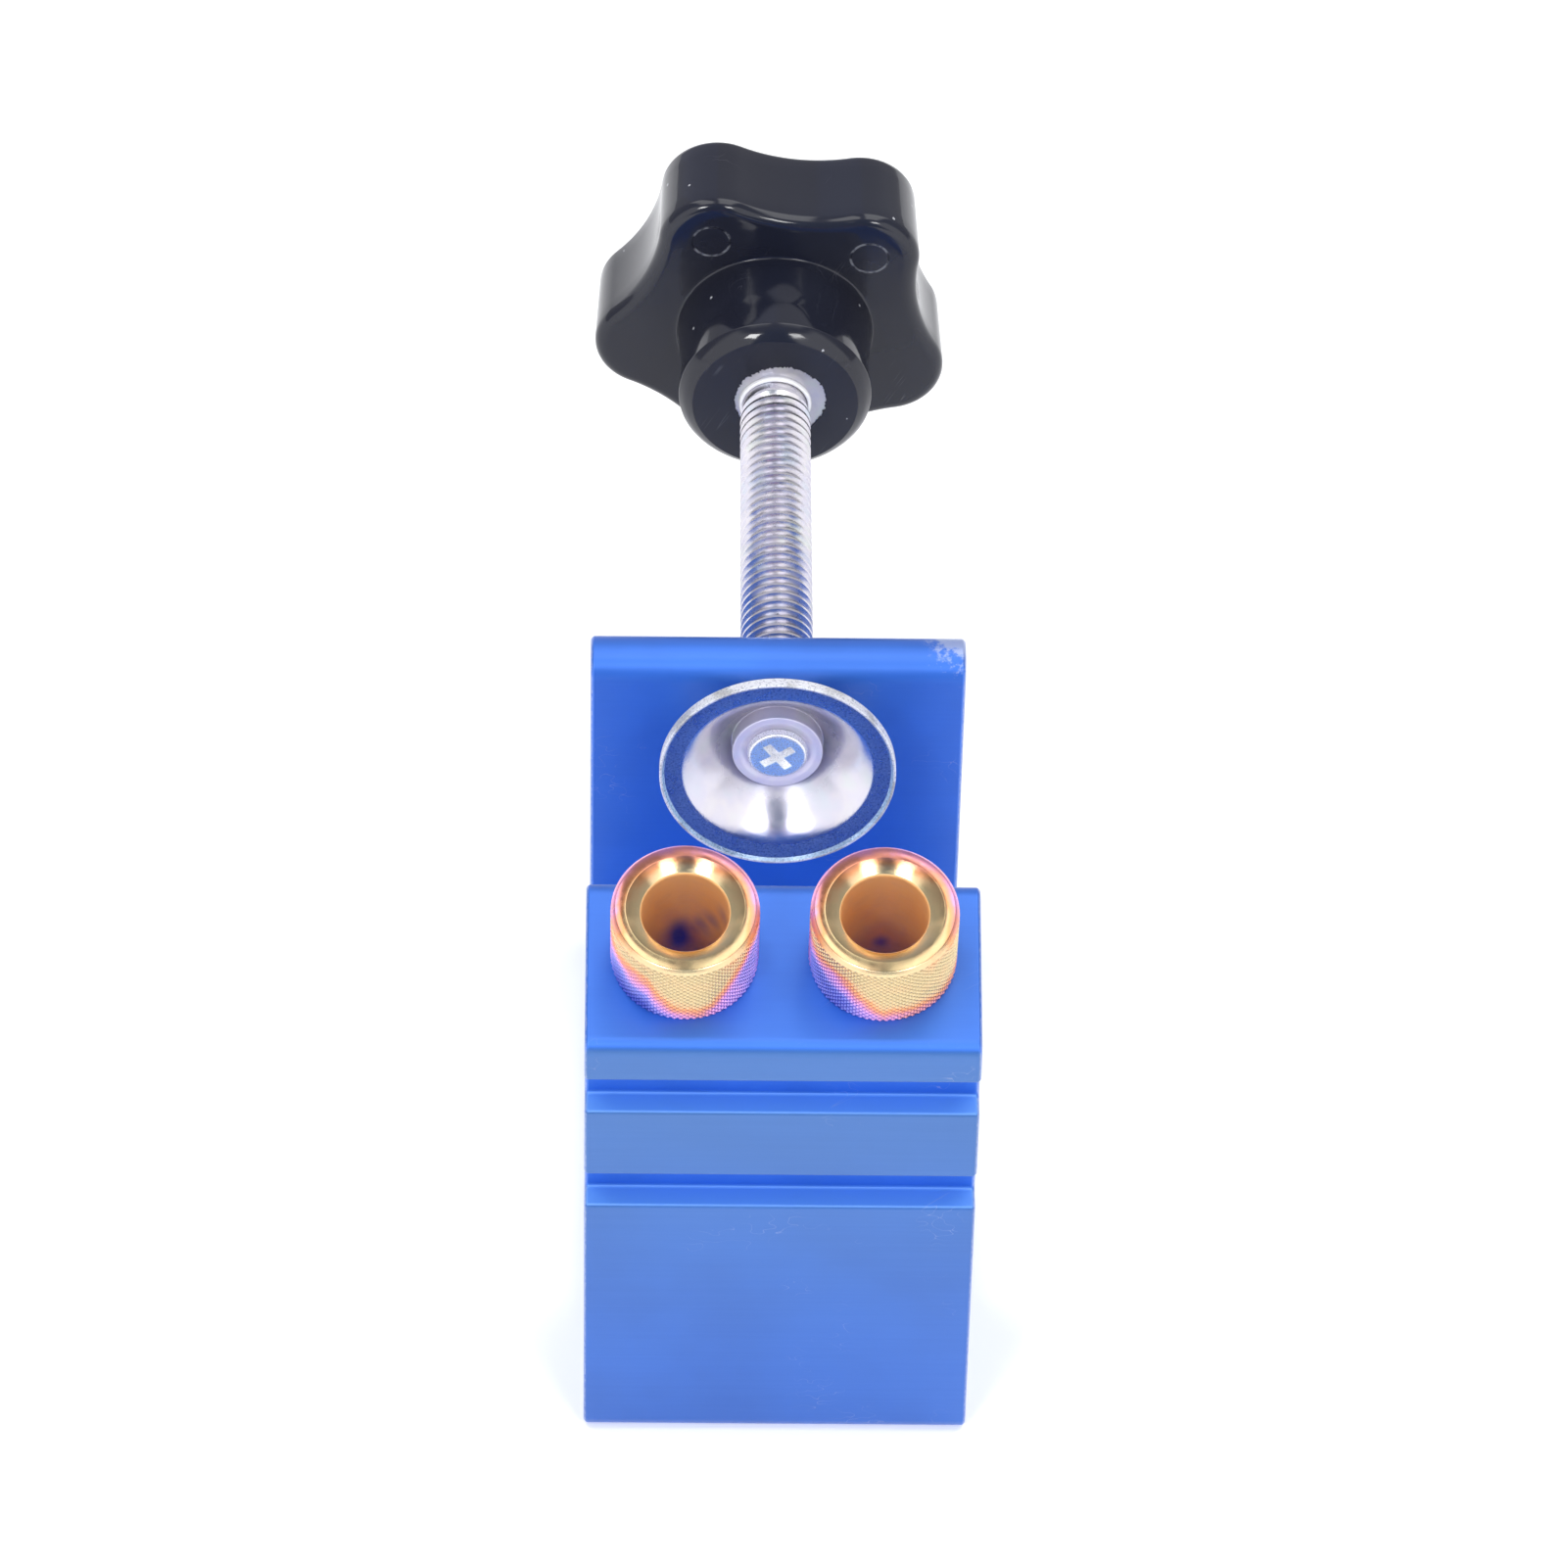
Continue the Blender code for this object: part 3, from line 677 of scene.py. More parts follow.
def heat_tint(points, side):
    """A value from 0, gold, to 1, blue, for each point of a bush."""
    values = []
    for x, y, z in points:
        radius = math.hypot(x, y)
        facing = math.degrees(math.atan2(x, -y))
        grain = noise.noise(Vector((x, y, z)) * TINT_GRAIN)
        behind = 0.5 - 0.5 * math.cos(math.radians(facing))
        blush = min(1.0, 2.2 * behind)
        if z > KNURL_HIGH and radius > BORE_RADIUS + 0.3 * MM:
            edge = held((radius / MM - 6.3) / 0.6)
            value = min(0.42, 0.34 * behind**2 + 0.34 * edge * blush)
        elif radius > SHANK_RADIUS + 0.4 * MM:
            line = np.interp(facing, TINT_ANGLES[side], TINT_LINES[side]) + 0.5 * grain
            limit = np.interp(facing, TINT_ANGLES[side], TINT_LIMITS[side])
            value = min(limit, TINT_START + (line - z / MM) / TINT_FADE)
            value = max(value, 0.38 * blush * held((z / MM - 7.6) / 1.4))
        else:
            across = facing % 360.0 - 180.0
            value = max(
                strong * math.exp(-((across - a) / wide) ** 2 - ((z / MM - h) / tall) ** 2)
                for a, h, wide, tall, strong in BORE_SPOTS[side]
            )
        values.append(held(value + 0.04 * grain))
    return values


print("the tint turns blue over", TINT_FADE, "mm")

# %% [markdown]
# The coating is a thin metal film, so the colour comes from its tint through a ramp: gold, orange,
# rose, violet, blue. The bore is rougher than the polished mouth and keeps a deeper gold. The
# knurl's grooves get painted shade, a darker colour, and the knurl is less like a mirror than the
# ring.

# %% Gold coating
gold, shader = new_material("heat_tinted_gold")
where = place_of()
mottled = spread(cloud(where, 500.0, 3.0), 0.3, 0.7, -0.04, 0.04)
tint = plus(mask_of("tint"), mottled)
colour = ramp(tint, [
    (0.00, (0.75, 0.60, 0.34)),
    (0.12, (0.88, 0.60, 0.34)),
    (0.22, (0.96, 0.43, 0.20)),
    (0.34, (0.94, 0.38, 0.32)),
    (0.44, (0.90, 0.40, 0.68)),
    (0.54, (0.74, 0.43, 0.90)),
    (0.70, (0.28, 0.30, 0.84)),
    (1.00, (0.09, 0.12, 0.58)),
])
in_bore = spread(mask_of("bore"), 0.2, 0.8)
deep_gold = blend(tint, (0.96, 0.60, 0.27), (0.08, 0.10, 0.50))
colour = blend(in_bore, colour, deep_gold)
# Painted shade: the knurl's grooves are darkened by their depth.
groove_shade = times(mask_of("groove"), 0.55)
colour = blend(groove_shade, colour, (0.66, 0.58, 0.56), "MULTIPLY")
colour = blend(mask_of("face"), colour, (0.63, 0.61, 0.58), "MULTIPLY")
smears = cloud(stretch(where, (1.0, 1.0, 3.0)), 900.0, 4.0)
specks = use(DUST, Vector=where, Scale=500.0, Share=0.06, Size=0.10)
colour = blend(times(specks, 0.7), colour, (0.10, 0.06, 0.04))
rough = spread(smears, 0.3, 0.7, 0.14, 0.24)
rough = plus(rough, times(in_bore, 0.34))
on_knurl = mask_of("knurl")
rough = plus(rough, times(on_knurl, 0.12))
dull = plus(times(in_bore, 0.40), times(on_knurl, 0.28))
turning = cloud(stretch(where, (0.3, 0.3, 1.0)), 7000.0, 3.0)
feed(
    shader, Base_Color=colour, Metallic=minus(1.0, dull), Roughness=rough,
    Normal=bump(turning, 0.003 * MM, 0.5),
)

# %% Both bushes
vertices, faces = skin(rings, closed=True)
height, reach = vertices[:, 2], np.hypot(vertices[:, 0], vertices[:, 1])
on_head = (height > HEAD_FOOT) & (reach > SHANK_RADIUS + MM)
depth = (head_radius(height) - reach) / KNURL_DEPTH
masks = {
    "bore": reach < BORE_RADIUS + 0.15 * MM,
    "groove": np.where(on_head, depth, 0.0).clip(0.0, 1.0),
    "face": (height > HEAD_HEIGHT - 0.02 * MM) & (reach > MOUTH_RADIUS - 0.3 * MM),
    "knurl": on_head & (reach > RING_EDGE + 0.05 * MM),
}
for side, seat in seats.items():
    painted = {"tint": heat_tint(vertices, side), **masks}
    mesh = make_mesh(f"bush_{side}", vertices, faces, painted)
    make_piece(mesh, seat, gold, "frame", "gold_bush", f"guide_bush_{side}")

# %% [markdown]
# ## The clamp screw
# The rod is an M8 stud with rolled threads: the pitch is 1.25 mm, and the plain neck before the
# knob is thinner than the crests, as a rolled blank is. A helix can be bent from a plane by
# modifiers. Here each ring of the thread climbs by one pitch in a turn and its end is sewn to the
# ring one pitch on, so the ridge runs on without a seam. At both ends the ridge sinks into the
# neck. One turn's profile is a row of places along the pitch, each with the ridge's height from 0
# to 1.

# %% Sizes on the clamp axis
ARM_FRONT = 47.0 * MM
SPINDLE_HEIGHT = 38.5 * MM
HUB_END = -50.6 * MM
THREAD_PITCH = 1.25 * MM
CREST_RADIUS, ROOT_RADIUS, NECK_RADIUS = 3.9 * MM, 3.22 * MM, 3.56 * MM
THREAD_START = HUB_END + 1.2 * MM
THREAD_END = -0.1 * MM
SPIGOT_RADIUS, SPIGOT_TIP = 2.9 * MM, 2.5 * MM
ROD_BACK = HUB_END - 11.0 * MM

THREAD_SHAPE = [(0.0, 1.0), (0.24, 1.0), (0.50, 0.12), (0.56, 0.0), (0.66, 0.0), (0.72, 0.12)]
RUN_OUT, ROD_COLUMNS = 0.9 * THREAD_PITCH, 64

clamp_axis = Matrix.Translation((0.0, ARM_FRONT, SPINDLE_HEIGHT))
clamp_axis = clamp_axis @ Matrix.Rotation(math.pi / 2, 4, "X")
print("thread turns:", round((THREAD_END - THREAD_START) / THREAD_PITCH, 1))

# %% Threaded rod
def thread_surface(start, end, columns):
    """Vertices, faces and depths of a helical ridge that sinks to the neck at both ends."""
    shape = len(THREAD_SHAPE)
    turns = math.ceil((end - start) / THREAD_PITCH) + 2
    vertices, roots = [], []
    for row in range(turns * shape):
        offset, ridge = THREAD_SHAPE[row % shape]
        for column in range(columns):
            height = start + THREAD_PITCH * (row // shape - 1 + offset + column / columns)
            height = min(max(height, start), end)
            fade = min(1.0, (height - start) / RUN_OUT, (end - height) / RUN_OUT)
            full = ROOT_RADIUS + (CREST_RADIUS - ROOT_RADIUS) * ridge
            radius = NECK_RADIUS + fade * (full - NECK_RADIUS)
            angle = math.tau * column / columns
            vertices.append((radius * math.cos(angle), radius * math.sin(angle), height))
            roots.append((1.0 - ridge) * max(0.0, fade))
    faces = []
    for row in range(turns * shape - 1):
        for column in range(columns):
            low, high = row * columns + column, (row + 1) * columns + column
            if column + 1 < columns:
                faces.append([low, low + 1, high + 1, high])
            elif row + shape + 1 < turns * shape:
                faces.append([low, (row + shape) * columns, (row + shape + 1) * columns, high])
    return vertices, faces, roots


vertices, faces, roots = thread_surface(THREAD_START, THREAD_END, ROD_COLUMNS)
back_end = [(0, ROD_BACK), (NECK_RADIUS, ROD_BACK), (NECK_RADIUS, THREAD_START)]
front_end = [
    (NECK_RADIUS, THREAD_END), (NECK_RADIUS, 0.0), (SPIGOT_RADIUS, 0.25 * MM),
    (SPIGOT_RADIUS, SPIGOT_TIP), (0, SPIGOT_TIP),
]
for plain_end in (back_end, front_end):
    more, extra = skin(turn(plain_end, ROD_COLUMNS))
    faces += [[i + len(vertices) for i in face] for face in extra]
    vertices += [tuple(v) for v in more]
    roots += [0.0] * len(more)
rod_mesh = make_mesh("threaded_rod", vertices, faces, {"root": roots})

# %% [markdown]
# The rod and the knob's insert are zinc plated and passivated to a bluish white. The plating is a
# metal of light grey with the shimmer effect over it, smooth enough to mirror the light overhead as
# streaks along the crests. The thread's roots, which the root mask marks, are painted darker: painted
# shade, with dirt.

# %% Bright zinc
def zinc_material(name, colour, low, high, relief, scale=9000.0, metallic=1.0):
    material, shader = new_material(name, Metallic=metallic)
    where = place_of()
    tinted = use(SHIMMER, Vector=where, Colour=colour, Scale=260.0, Strength=1.0)
    specks = use(DUST, Vector=where, Scale=600.0, Share=0.10, Size=0.12)
    tinted = blend(times(specks, 0.6), tinted, (0.12, 0.13, 0.16))
    # Painted shade, with dirt: the thread's roots are darkened.
    root_dirt_and_shade = spread(mask_of("root"), 0.5, 0.98, 0.0, 0.75)
    tinted = blend(root_dirt_and_shade, tinted, (0.16, 0.17, 0.21))
    rough = spread(cloud(where, 420.0, 4.0, 0.6), 0.3, 0.7, low, high)
    pits = cloud(where, scale, 3.0, 0.6)
    feed(shader, Base_Color=tinted, Roughness=rough, Normal=bump(pits, relief, 0.6))
    return material


zinc = zinc_material("bright_zinc", (0.64, 0.64, 0.65), 0.20, 0.32, 0.003 * MM)
make_piece(rod_mesh, clamp_axis, zinc, "clamp_screw", "zinc_screw", "clamp_spindle")

# %% [markdown]
# ## The swivel pad
# The pad is pressed from sheet: a thin lip, a flat ring, a bowl that grows steeper down to the
# middle, and a raised boss with a dimple for the screw's head. It hangs loose, so it is tipped back
# a few degrees. A plain cone would mirror one part of the room all over, where the real bowl runs
# from blue at its border through white to grey. So the bowl's depth follows a power of the way in.

# %% Pad shape
PAD_RADIUS, PAD_SHEET, PAD_TILT = 12.6 * MM, 1.2 * MM, math.radians(3.7)
PAD_DEPTH, BOSS_RISE, BOSS_RADIUS = 5.7 * MM, 2.0 * MM, 4.85 * MM
RING_RADIUS, RING_DROP, FLOOR_RADIUS = 10.3 * MM, 0.52 * MM, 4.95 * MM
HEAD_RIM, HEAD_SINK, SCREW_HOLE = 3.2 * MM, 0.4 * MM, 2.2 * MM
BOWL_POWER, PAD_COLUMNS = 1.25, 160
BACK_RADIUS = FLOOR_RADIUS + PAD_SHEET
ARM_GAP = 0.65 * MM
BOSS_FACE = PAD_SHEET + BACK_RADIUS * math.sin(PAD_TILT) + ARM_GAP + BOSS_RISE
BOSS_TOP = BOSS_RISE - PAD_DEPTH
DIMPLE = BOSS_TOP - HEAD_SINK

pad_place = (
    clamp_axis
    @ Matrix.Translation((0, 0, BOSS_FACE))
    @ Matrix.Rotation(-PAD_TILT, 4, "X")
    @ Matrix.Translation((0, 0, -BOSS_TOP))
)


def bowl(share):
    """A point of the bowl, from the ring at 0 to the boss at 1. It starts flat and grows steeper."""
    radius = RING_RADIUS + (FLOOR_RADIUS - RING_RADIUS) * share
    return radius, -RING_DROP - (PAD_DEPTH - 0.1 * MM - RING_DROP) * share**BOWL_POWER, 0


face = fillet([
    (PAD_RADIUS, -PAD_SHEET, 0),
    (PAD_RADIUS, 0.02 * MM, 0.12 * MM),
    (PAD_RADIUS - 0.30 * MM, 0.0, 0.12 * MM),
    (PAD_RADIUS - 0.48 * MM, -0.42 * MM, 0.12 * MM),
    *[bowl(i / 24) for i in range(25)],
    (BOSS_RADIUS + 0.02 * MM, -PAD_DEPTH + 0.1 * MM, 0),
    (BOSS_RADIUS, BOSS_TOP, 0.18 * MM),
    (HEAD_RIM + 0.9 * MM, BOSS_TOP, 0.8 * MM),
    (HEAD_RIM + 0.15 * MM, DIMPLE, 0.2 * MM),
    (SCREW_HOLE, DIMPLE, 0.1 * MM),
    (SCREW_HOLE, DIMPLE - PAD_SHEET, 0),
], math.radians(10.0))
back = fillet([
    (SCREW_HOLE, DIMPLE - PAD_SHEET, 0),
    (BOSS_RADIUS - PAD_SHEET, BOSS_TOP - PAD_SHEET, 0.4 * MM),
    (BOSS_RADIUS - PAD_SHEET, -PAD_DEPTH - PAD_SHEET, 0.3 * MM),
    (BACK_RADIUS - 0.6 * MM, -PAD_DEPTH - PAD_SHEET, 0.7 * MM),
    (RING_RADIUS + 0.3 * MM, -RING_DROP - PAD_SHEET - 0.15 * MM, 0.6 * MM),
    (PAD_RADIUS, -PAD_SHEET, 0),
])
pad_mesh = make_mesh("pressed_pad", *skin(turn(face + back[1:-1], PAD_COLUMNS), closed=True))
print("pad boss face lies", round(BOSS_FACE / MM, 2), "mm ahead of the arm")

# %% [markdown]
# The bowl was polished by the press tool, the ring stayed bluish and pitted, the lip is worn to
# grey in patches, and the boss has a cloudy passivation film. One metal covers them all, because
# its roughness, its pits and its colour follow the distance from the pad's middle.

# %% Pressed zinc
PITS = (0.16, 0.20, 0.30)
GLINTS = (0.80, 0.84, 0.92)
WORN_LIP, CLEAN_LIP = (0.50, 0.50, 0.50), (0.78, 0.79, 0.83)

pad_zinc, shader = new_material("pressed_zinc")
where = place_of()
radius = from_axis(where)
on_ring = spread(radius, RING_RADIUS - 0.3 * MM, RING_RADIUS + 0.2 * MM)
on_edge = spread(radius, PAD_RADIUS - 0.32 * MM, PAD_RADIUS - 0.26 * MM)
on_boss = spread(radius, BOSS_RADIUS - 0.1 * MM, BOSS_RADIUS + 0.1 * MM, 1.0, 0.0)
near_ring = spread(radius, RING_RADIUS - 3.4 * MM, RING_RADIUS - 0.4 * MM)
by_boss = spread(radius, BOSS_RADIUS + 0.2 * MM, BOSS_RADIUS + 3.2 * MM, 0.16, 0.0)
by_boss = times(by_boss, minus(1.0, on_boss))
bowl_grey, boss_grey = (0.63, 0.63, 0.66), (0.70, 0.69, 0.80)
tinted = use(SHIMMER, Vector=where, Colour=bowl_grey, Scale=160.0, Strength=0.9)
cloudy = use(SHIMMER, Vector=where, Colour=boss_grey, Scale=300.0, Strength=0.8)
tinted = blend(on_ring, tinted, (0.37, 0.51, 0.68))
worn = spread(cloud(where, 240.0, 3.0), 0.48, 0.62)
tinted = blend(on_edge, tinted, blend(worn, CLEAN_LIP, WORN_LIP))
tinted = blend(on_boss, tinted, cloudy)
pitted = cloud(where, 4200.0, 4.0, 0.7)
for low, high, strength, shade in ((0.52, 0.64, 0.70, PITS), (0.46, 0.38, 0.30, GLINTS)):
    flecks = times(spread(pitted, low, high), times(on_ring, strength))
    tinted = blend(flecks, tinted, shade)
rough = spread(cloud(where, 700.0, 4.0, 0.6), 0.3, 0.7, 0.16, 0.22)
rough = plus(rough, by_boss)
rough = plus(rough, times(sums("MAXIMUM", on_boss, on_edge), 0.25))
rough = plus(rough, times(on_ring, 0.10))
tool_rings = cloud(add("CombineXYZ", {0: radius}).outputs[0], 5000.0, 3.0)
hammered = times(cloud(where, 3600.0, 3.0, 0.8), near_ring)
relief = bump(tool_rings, 0.002 * MM, 0.4)
relief = bump(pitted, 0.003 * MM, 0.6, relief)
relief = bump(hammered, 0.016 * MM, 1.0, relief)
matt = plus(times(on_boss, 0.70), times(on_edge, 0.35))
matt = plus(matt, times(on_ring, 0.06))
metal = minus(1.0, plus(matt, by_boss))
feed(shader, Base_Color=tinted, Metallic=metal, Roughness=rough, Normal=relief)
make_piece(pad_mesh, pad_place, pad_zinc, "pad", "zinc_pad", "swivel_pad")

# %% [markdown]
# A small pan-head screw holds the pad on the rod. Its cross recess is cut by two crossing wedges
# that taper inwards, as the punch that makes it does.

# %% Pad screw
HEAD_SEAT = BOSS_FACE - HEAD_SINK + 0.05 * MM
HEAD_TOP = HEAD_SEAT + 1.1 * MM
SCREW_RADIUS, SCREW_LENGTH = 1.9 * MM, 8 * MM
CROSS_SPAN, CROSS_WIDTH, CROSS_DEPTH = 4.7 * MM, 1.1 * MM, 1.25 * MM
CROSS_TURN = math.radians(35.5)

head = fillet([
    (0, HEAD_SEAT - SCREW_LENGTH, 0),
    (SCREW_RADIUS - 0.3 * MM, HEAD_SEAT - SCREW_LENGTH, 0.2 * MM),
    (SCREW_RADIUS, HEAD_SEAT - SCREW_LENGTH + 0.4 * MM, 0.2 * MM),
    (SCREW_RADIUS, HEAD_SEAT, 0),
    (HEAD_RIM, HEAD_SEAT, 0.1 * MM),
    (HEAD_RIM, HEAD_TOP - 0.12 * MM, 0.35 * MM),
    (0, HEAD_TOP, 0),
])
head_mesh = make_mesh("cross_head_screw", *skin(turn(head, 72)))
for quarter in (0.0, math.pi / 2):
    shape = Matrix.Translation((0, 0, HEAD_TOP)) @ Matrix.Rotation(CROSS_TURN + quarter, 4, "Z")
    corners = []
    for height, share in ((0.3 * MM, 1.0), (-CROSS_DEPTH, 0.45)):
        x, y = CROSS_SPAN / 2 * share, CROSS_WIDTH / 2 * (0.55 + 0.45 * share)
        corners += [
            shape @ Vector((a * x, b * y, height)) for a, b in ((-1, -1), (1, -1), (1, 1), (-1, 1))
        ]
    sides = [[0, 1, 2, 3], [4, 7, 6, 5], [0, 4, 5, 1], [1, 5, 6, 2], [2, 6, 7, 3], [3, 7, 4, 0]]
    head_mesh = cut(head_mesh, make_mesh("wedge", corners, sides))

# %% [markdown]
# The head's face has a bluish passivation and fine pits. The punched cross and the rounded rim
# stayed bright, because the punch and the tumbling drum polished them.

# %% Blue-passivated zinc
head_zinc, shader = new_material("blue_passivated_zinc")
where = place_of()
radius = from_axis(where)
on_rim = spread(radius, HEAD_RIM - 0.45 * MM, HEAD_RIM - 0.25 * MM)
sunk = spread(axes_of(where)[2], HEAD_TOP - 0.10 * MM, HEAD_TOP - 0.16 * MM)
in_cross = times(sunk, spread(radius, HEAD_RIM - 0.6 * MM, HEAD_RIM - 0.8 * MM))
bright = sums("MAXIMUM", on_rim, in_cross)
pits = cloud(where, 6000.0, 3.0, 0.6)
pale_blue, deep_blue = (0.58, 0.78, 0.98), (0.38, 0.60, 0.88)
passivated = blend(spread(pits, 0.42, 0.62), pale_blue, deep_blue)
colour = blend(bright, passivated, (0.90, 0.90, 0.91))
metal = minus(0.60, times(in_cross, 0.25))
rough = spread(pits, 0.3, 0.7, 0.24, 0.36)
relief = bump(pits, 0.004 * MM, 0.6)
feed(shader, Base_Color=colour, Metallic=metal, Roughness=rough, Normal=relief)
make_piece(head_mesh, clamp_axis, head_zinc, "clamp_screw", "zinc_screw", "pad_screw")

# %% [markdown]
# ## The star knob
# The knob is one black moulding: five round lobes with hollow flanks between them, tapered towards
# the back so that it leaves its mould, on a waisted hub. It could be joined from a star and a
# turned hub, but a joint leaves no fillet. Instead every ring runs right round, with a star's
# outline on the grip and a circle on the hub, and the rings between them blend one into the other.

# %% Outline of the star
LOBES, LOBE_PHASE = 5, math.radians(46.7)
LOBE_RADIUS, LOBE_CENTRE, VALLEY_RADIUS = 6.4 * MM, 14.0 * MM, 16.4 * MM
GRIP_THICKNESS, GRIP_TAPER, EDGE_ROUND = 12.0 * MM, 0.03, 1.4 * MM
KNOB_COLUMNS = 480


def star_outline():
    """Points and outward normals of the star at evenly spaced angles round its middle."""
    half = math.pi / LOBES
    c = math.cos(half)
    hollow = (
        LOBE_RADIUS**2 - VALLEY_RADIUS**2 - LOBE_CENTRE**2 + 2 * VALLEY_RADIUS * LOBE_CENTRE * c
    ) / (2 * (VALLEY_RADIUS - LOBE_CENTRE * c - LOBE_RADIUS))
    reach = VALLEY_RADIUS + hollow
    meet = math.atan2(reach * math.sin(half), reach * c - LOBE_CENTRE)
    touch = Vector((LOBE_CENTRE + LOBE_RADIUS * math.cos(meet), LOBE_RADIUS * math.sin(meet)))
    limit = math.atan2(touch.y, touch.x)
    points, normals = [], []
    for column in range(KNOB_COLUMNS):
        angle = math.tau * column / KNOB_COLUMNS
        away = (angle - LOBE_PHASE + half) % (2 * half) - half
        lobe = angle - away
        if abs(away) < limit:
            side = LOBE_CENTRE * math.sin(away)
            distance = LOBE_CENTRE * math.cos(away) + math.sqrt(LOBE_RADIUS**2 - side**2)
            centre, sign = Vector((math.cos(lobe), math.sin(lobe))) * LOBE_CENTRE, 1
        else:
            valley = lobe + math.copysign(half, away)
            turned = angle - valley
            side = reach * math.sin(turned)
            distance = reach * math.cos(turned) - math.sqrt(hollow**2 - side**2)
            centre, sign = Vector((math.cos(valley), math.sin(valley))) * reach, -1
        point = Vector((math.cos(angle), math.sin(angle))) * distance
        points.append(point)
        normals.append((point - centre).normalized() * sign)
    return np.array(points), np.array(normals)


outline, outward = star_outline()
print("the star reaches", round(float(np.hypot(*outline.T).max()) / MM, 2), "mm from its middle")

# %% Rings of the knob
HUB_ROOT, HUB_WAIST, HUB_RIM = 10.9 * MM, 10.4 * MM, 10.7 * MM
HUB_LENGTH, HUB_CHAMFER, INSERT_RADIUS = 12.0 * MM, 1.5 * MM, 6.2 * MM
KNOB_END = GRIP_THICKNESS + HUB_LENGTH


def grip_ring(height, inset):
    """The star's outline at a height above the back, pulled in by the inset."""
    size = 1.0 - GRIP_TAPER * (1.0 - height / GRIP_THICKNESS)
    return np.column_stack([(outline - outward * inset) * size, np.full(KNOB_COLUMNS, height)])


def between(first, second, share):
    return first + (second - first) * share


def knob_rings():
    """Rings from the middle of the back, up the lobes' walls and over the face to the hub's end."""
    quarter = [math.pi / 2 * i / 6 for i in range(1, 7)]
    wall_top = GRIP_THICKNESS - EDGE_ROUND
    back_edge = grip_ring(0.0, EDGE_ROUND)
    rings = [np.zeros((1, 3))] + [back_edge * (s, s, 0) for s in (0.25, 0.5, 0.75, 1.0)]
    rings += [
        grip_ring(EDGE_ROUND * (1 - math.cos(a)), EDGE_ROUND * (1 - math.sin(a))) for a in quarter
    ]
    rings += [grip_ring(between(EDGE_ROUND, wall_top, s / 6), 0.0) for s in range(1, 7)]
    rings += [
        grip_ring(wall_top + EDGE_ROUND * math.sin(a), EDGE_ROUND * (1 - math.cos(a))) for a in quarter
    ]
    hub = fillet([
        (HUB_ROOT + 0.8 * MM, GRIP_THICKNESS, 0),
        (HUB_ROOT + 0.05 * MM, GRIP_THICKNESS, 0.25 * MM),
        (HUB_ROOT - 0.1 * MM, GRIP_THICKNESS + 1.0 * MM, 2.0 * MM),
        (HUB_WAIST, GRIP_THICKNESS + HUB_LENGTH / 2, 12.0 * MM),
        (HUB_RIM, KNOB_END - HUB_CHAMFER, 0.25 * MM),
        (HUB_RIM - 0.42 * HUB_CHAMFER, KNOB_END - 0.45 * HUB_CHAMFER, 2.6 * MM),
        (HUB_RIM - HUB_CHAMFER, KNOB_END, 0.25 * MM),
        (INSERT_RADIUS + 0.2 * MM, KNOB_END, 0),
    ])
    circles = turn(hub, KNOB_COLUMNS)
    rings += [between(rings[-1], circles[0], s / 8) for s in range(1, 8)]
    return rings + circles


grip = knob_rings()
print("the knob has", len(grip), "rings")

# %% [markdown]
# Round the steel insert the plastic has crept over the metal in a ragged flash. The last rings of
# the knob follow a toothed circle whose middle lies a little up and to the right, then drop into
# the bore. Three noises of rising frequency shape it. On two lobes the ejector pins left shallow
# round grooves, which are cut with a turned tool.

# %% Ragged bore and ejector marks
FLASH_RADIUS, FLASH_SHIFT, FLASH_SEED = 5.22 * MM, (0.55 * MM, 0.35 * MM), 3.0
SOCKET_DEPTH = 12.3 * MM
EJECTOR_RADIUS, EJECTOR_PLACE = 2.1 * MM, 15.1 * MM


def ragged(base, depth):
    """A toothed ring whose radius wanders."""
    ring = []
    for column in range(KNOB_COLUMNS):
        a = math.tau * column / KNOB_COLUMNS
        wander, teeth, serrated = (
            noise.noise(Vector((math.cos(a) * often, math.sin(a) * often, FLASH_SEED)))
            for often in (2.1, 13.0, 34.0)
        )
        radius = base + (0.22 * wander - 0.35 * abs(teeth) - 0.30 * abs(serrated)) * MM
        x, y = radius * math.cos(a), radius * math.sin(a)
        ring.append((FLASH_SHIFT[0] + x, FLASH_SHIFT[1] + y, depth))
    return np.array(ring)


bore = INSERT_RADIUS + 0.1 * MM
grip.append(ragged(FLASH_RADIUS, KNOB_END))
grip.append(ragged(FLASH_RADIUS - 0.03 * MM, KNOB_END - 0.12 * MM))
grip += turn([
    (bore, KNOB_END - 0.2 * MM), (bore, KNOB_END - SOCKET_DEPTH), (0, KNOB_END - SOCKET_DEPTH),
], KNOB_COLUMNS)
knob_mesh = make_mesh("star_grip", *skin(grip))

groove = turn([
    (EJECTOR_RADIUS - 0.2 * MM, 0.2 * MM), (EJECTOR_RADIUS - 0.05 * MM, -0.1 * MM),
    (EJECTOR_RADIUS + 0.05 * MM, -0.1 * MM), (EJECTOR_RADIUS + 0.2 * MM, 0.2 * MM),
], 48)
ejector_centres = []
for lobe in (0, 1):
    angle = LOBE_PHASE + math.tau * lobe / LOBES
    x, y = math.cos(angle) * EJECTOR_PLACE, math.sin(angle) * EJECTOR_PLACE
    ejector_centres.append((x, y, GRIP_THICKNESS))
    tool = make_mesh("groove", *skin(groove, closed=True))
    tool.transform(Matrix.Translation(ejector_centres[-1]))
    knob_mesh = cut(knob_mesh, tool)

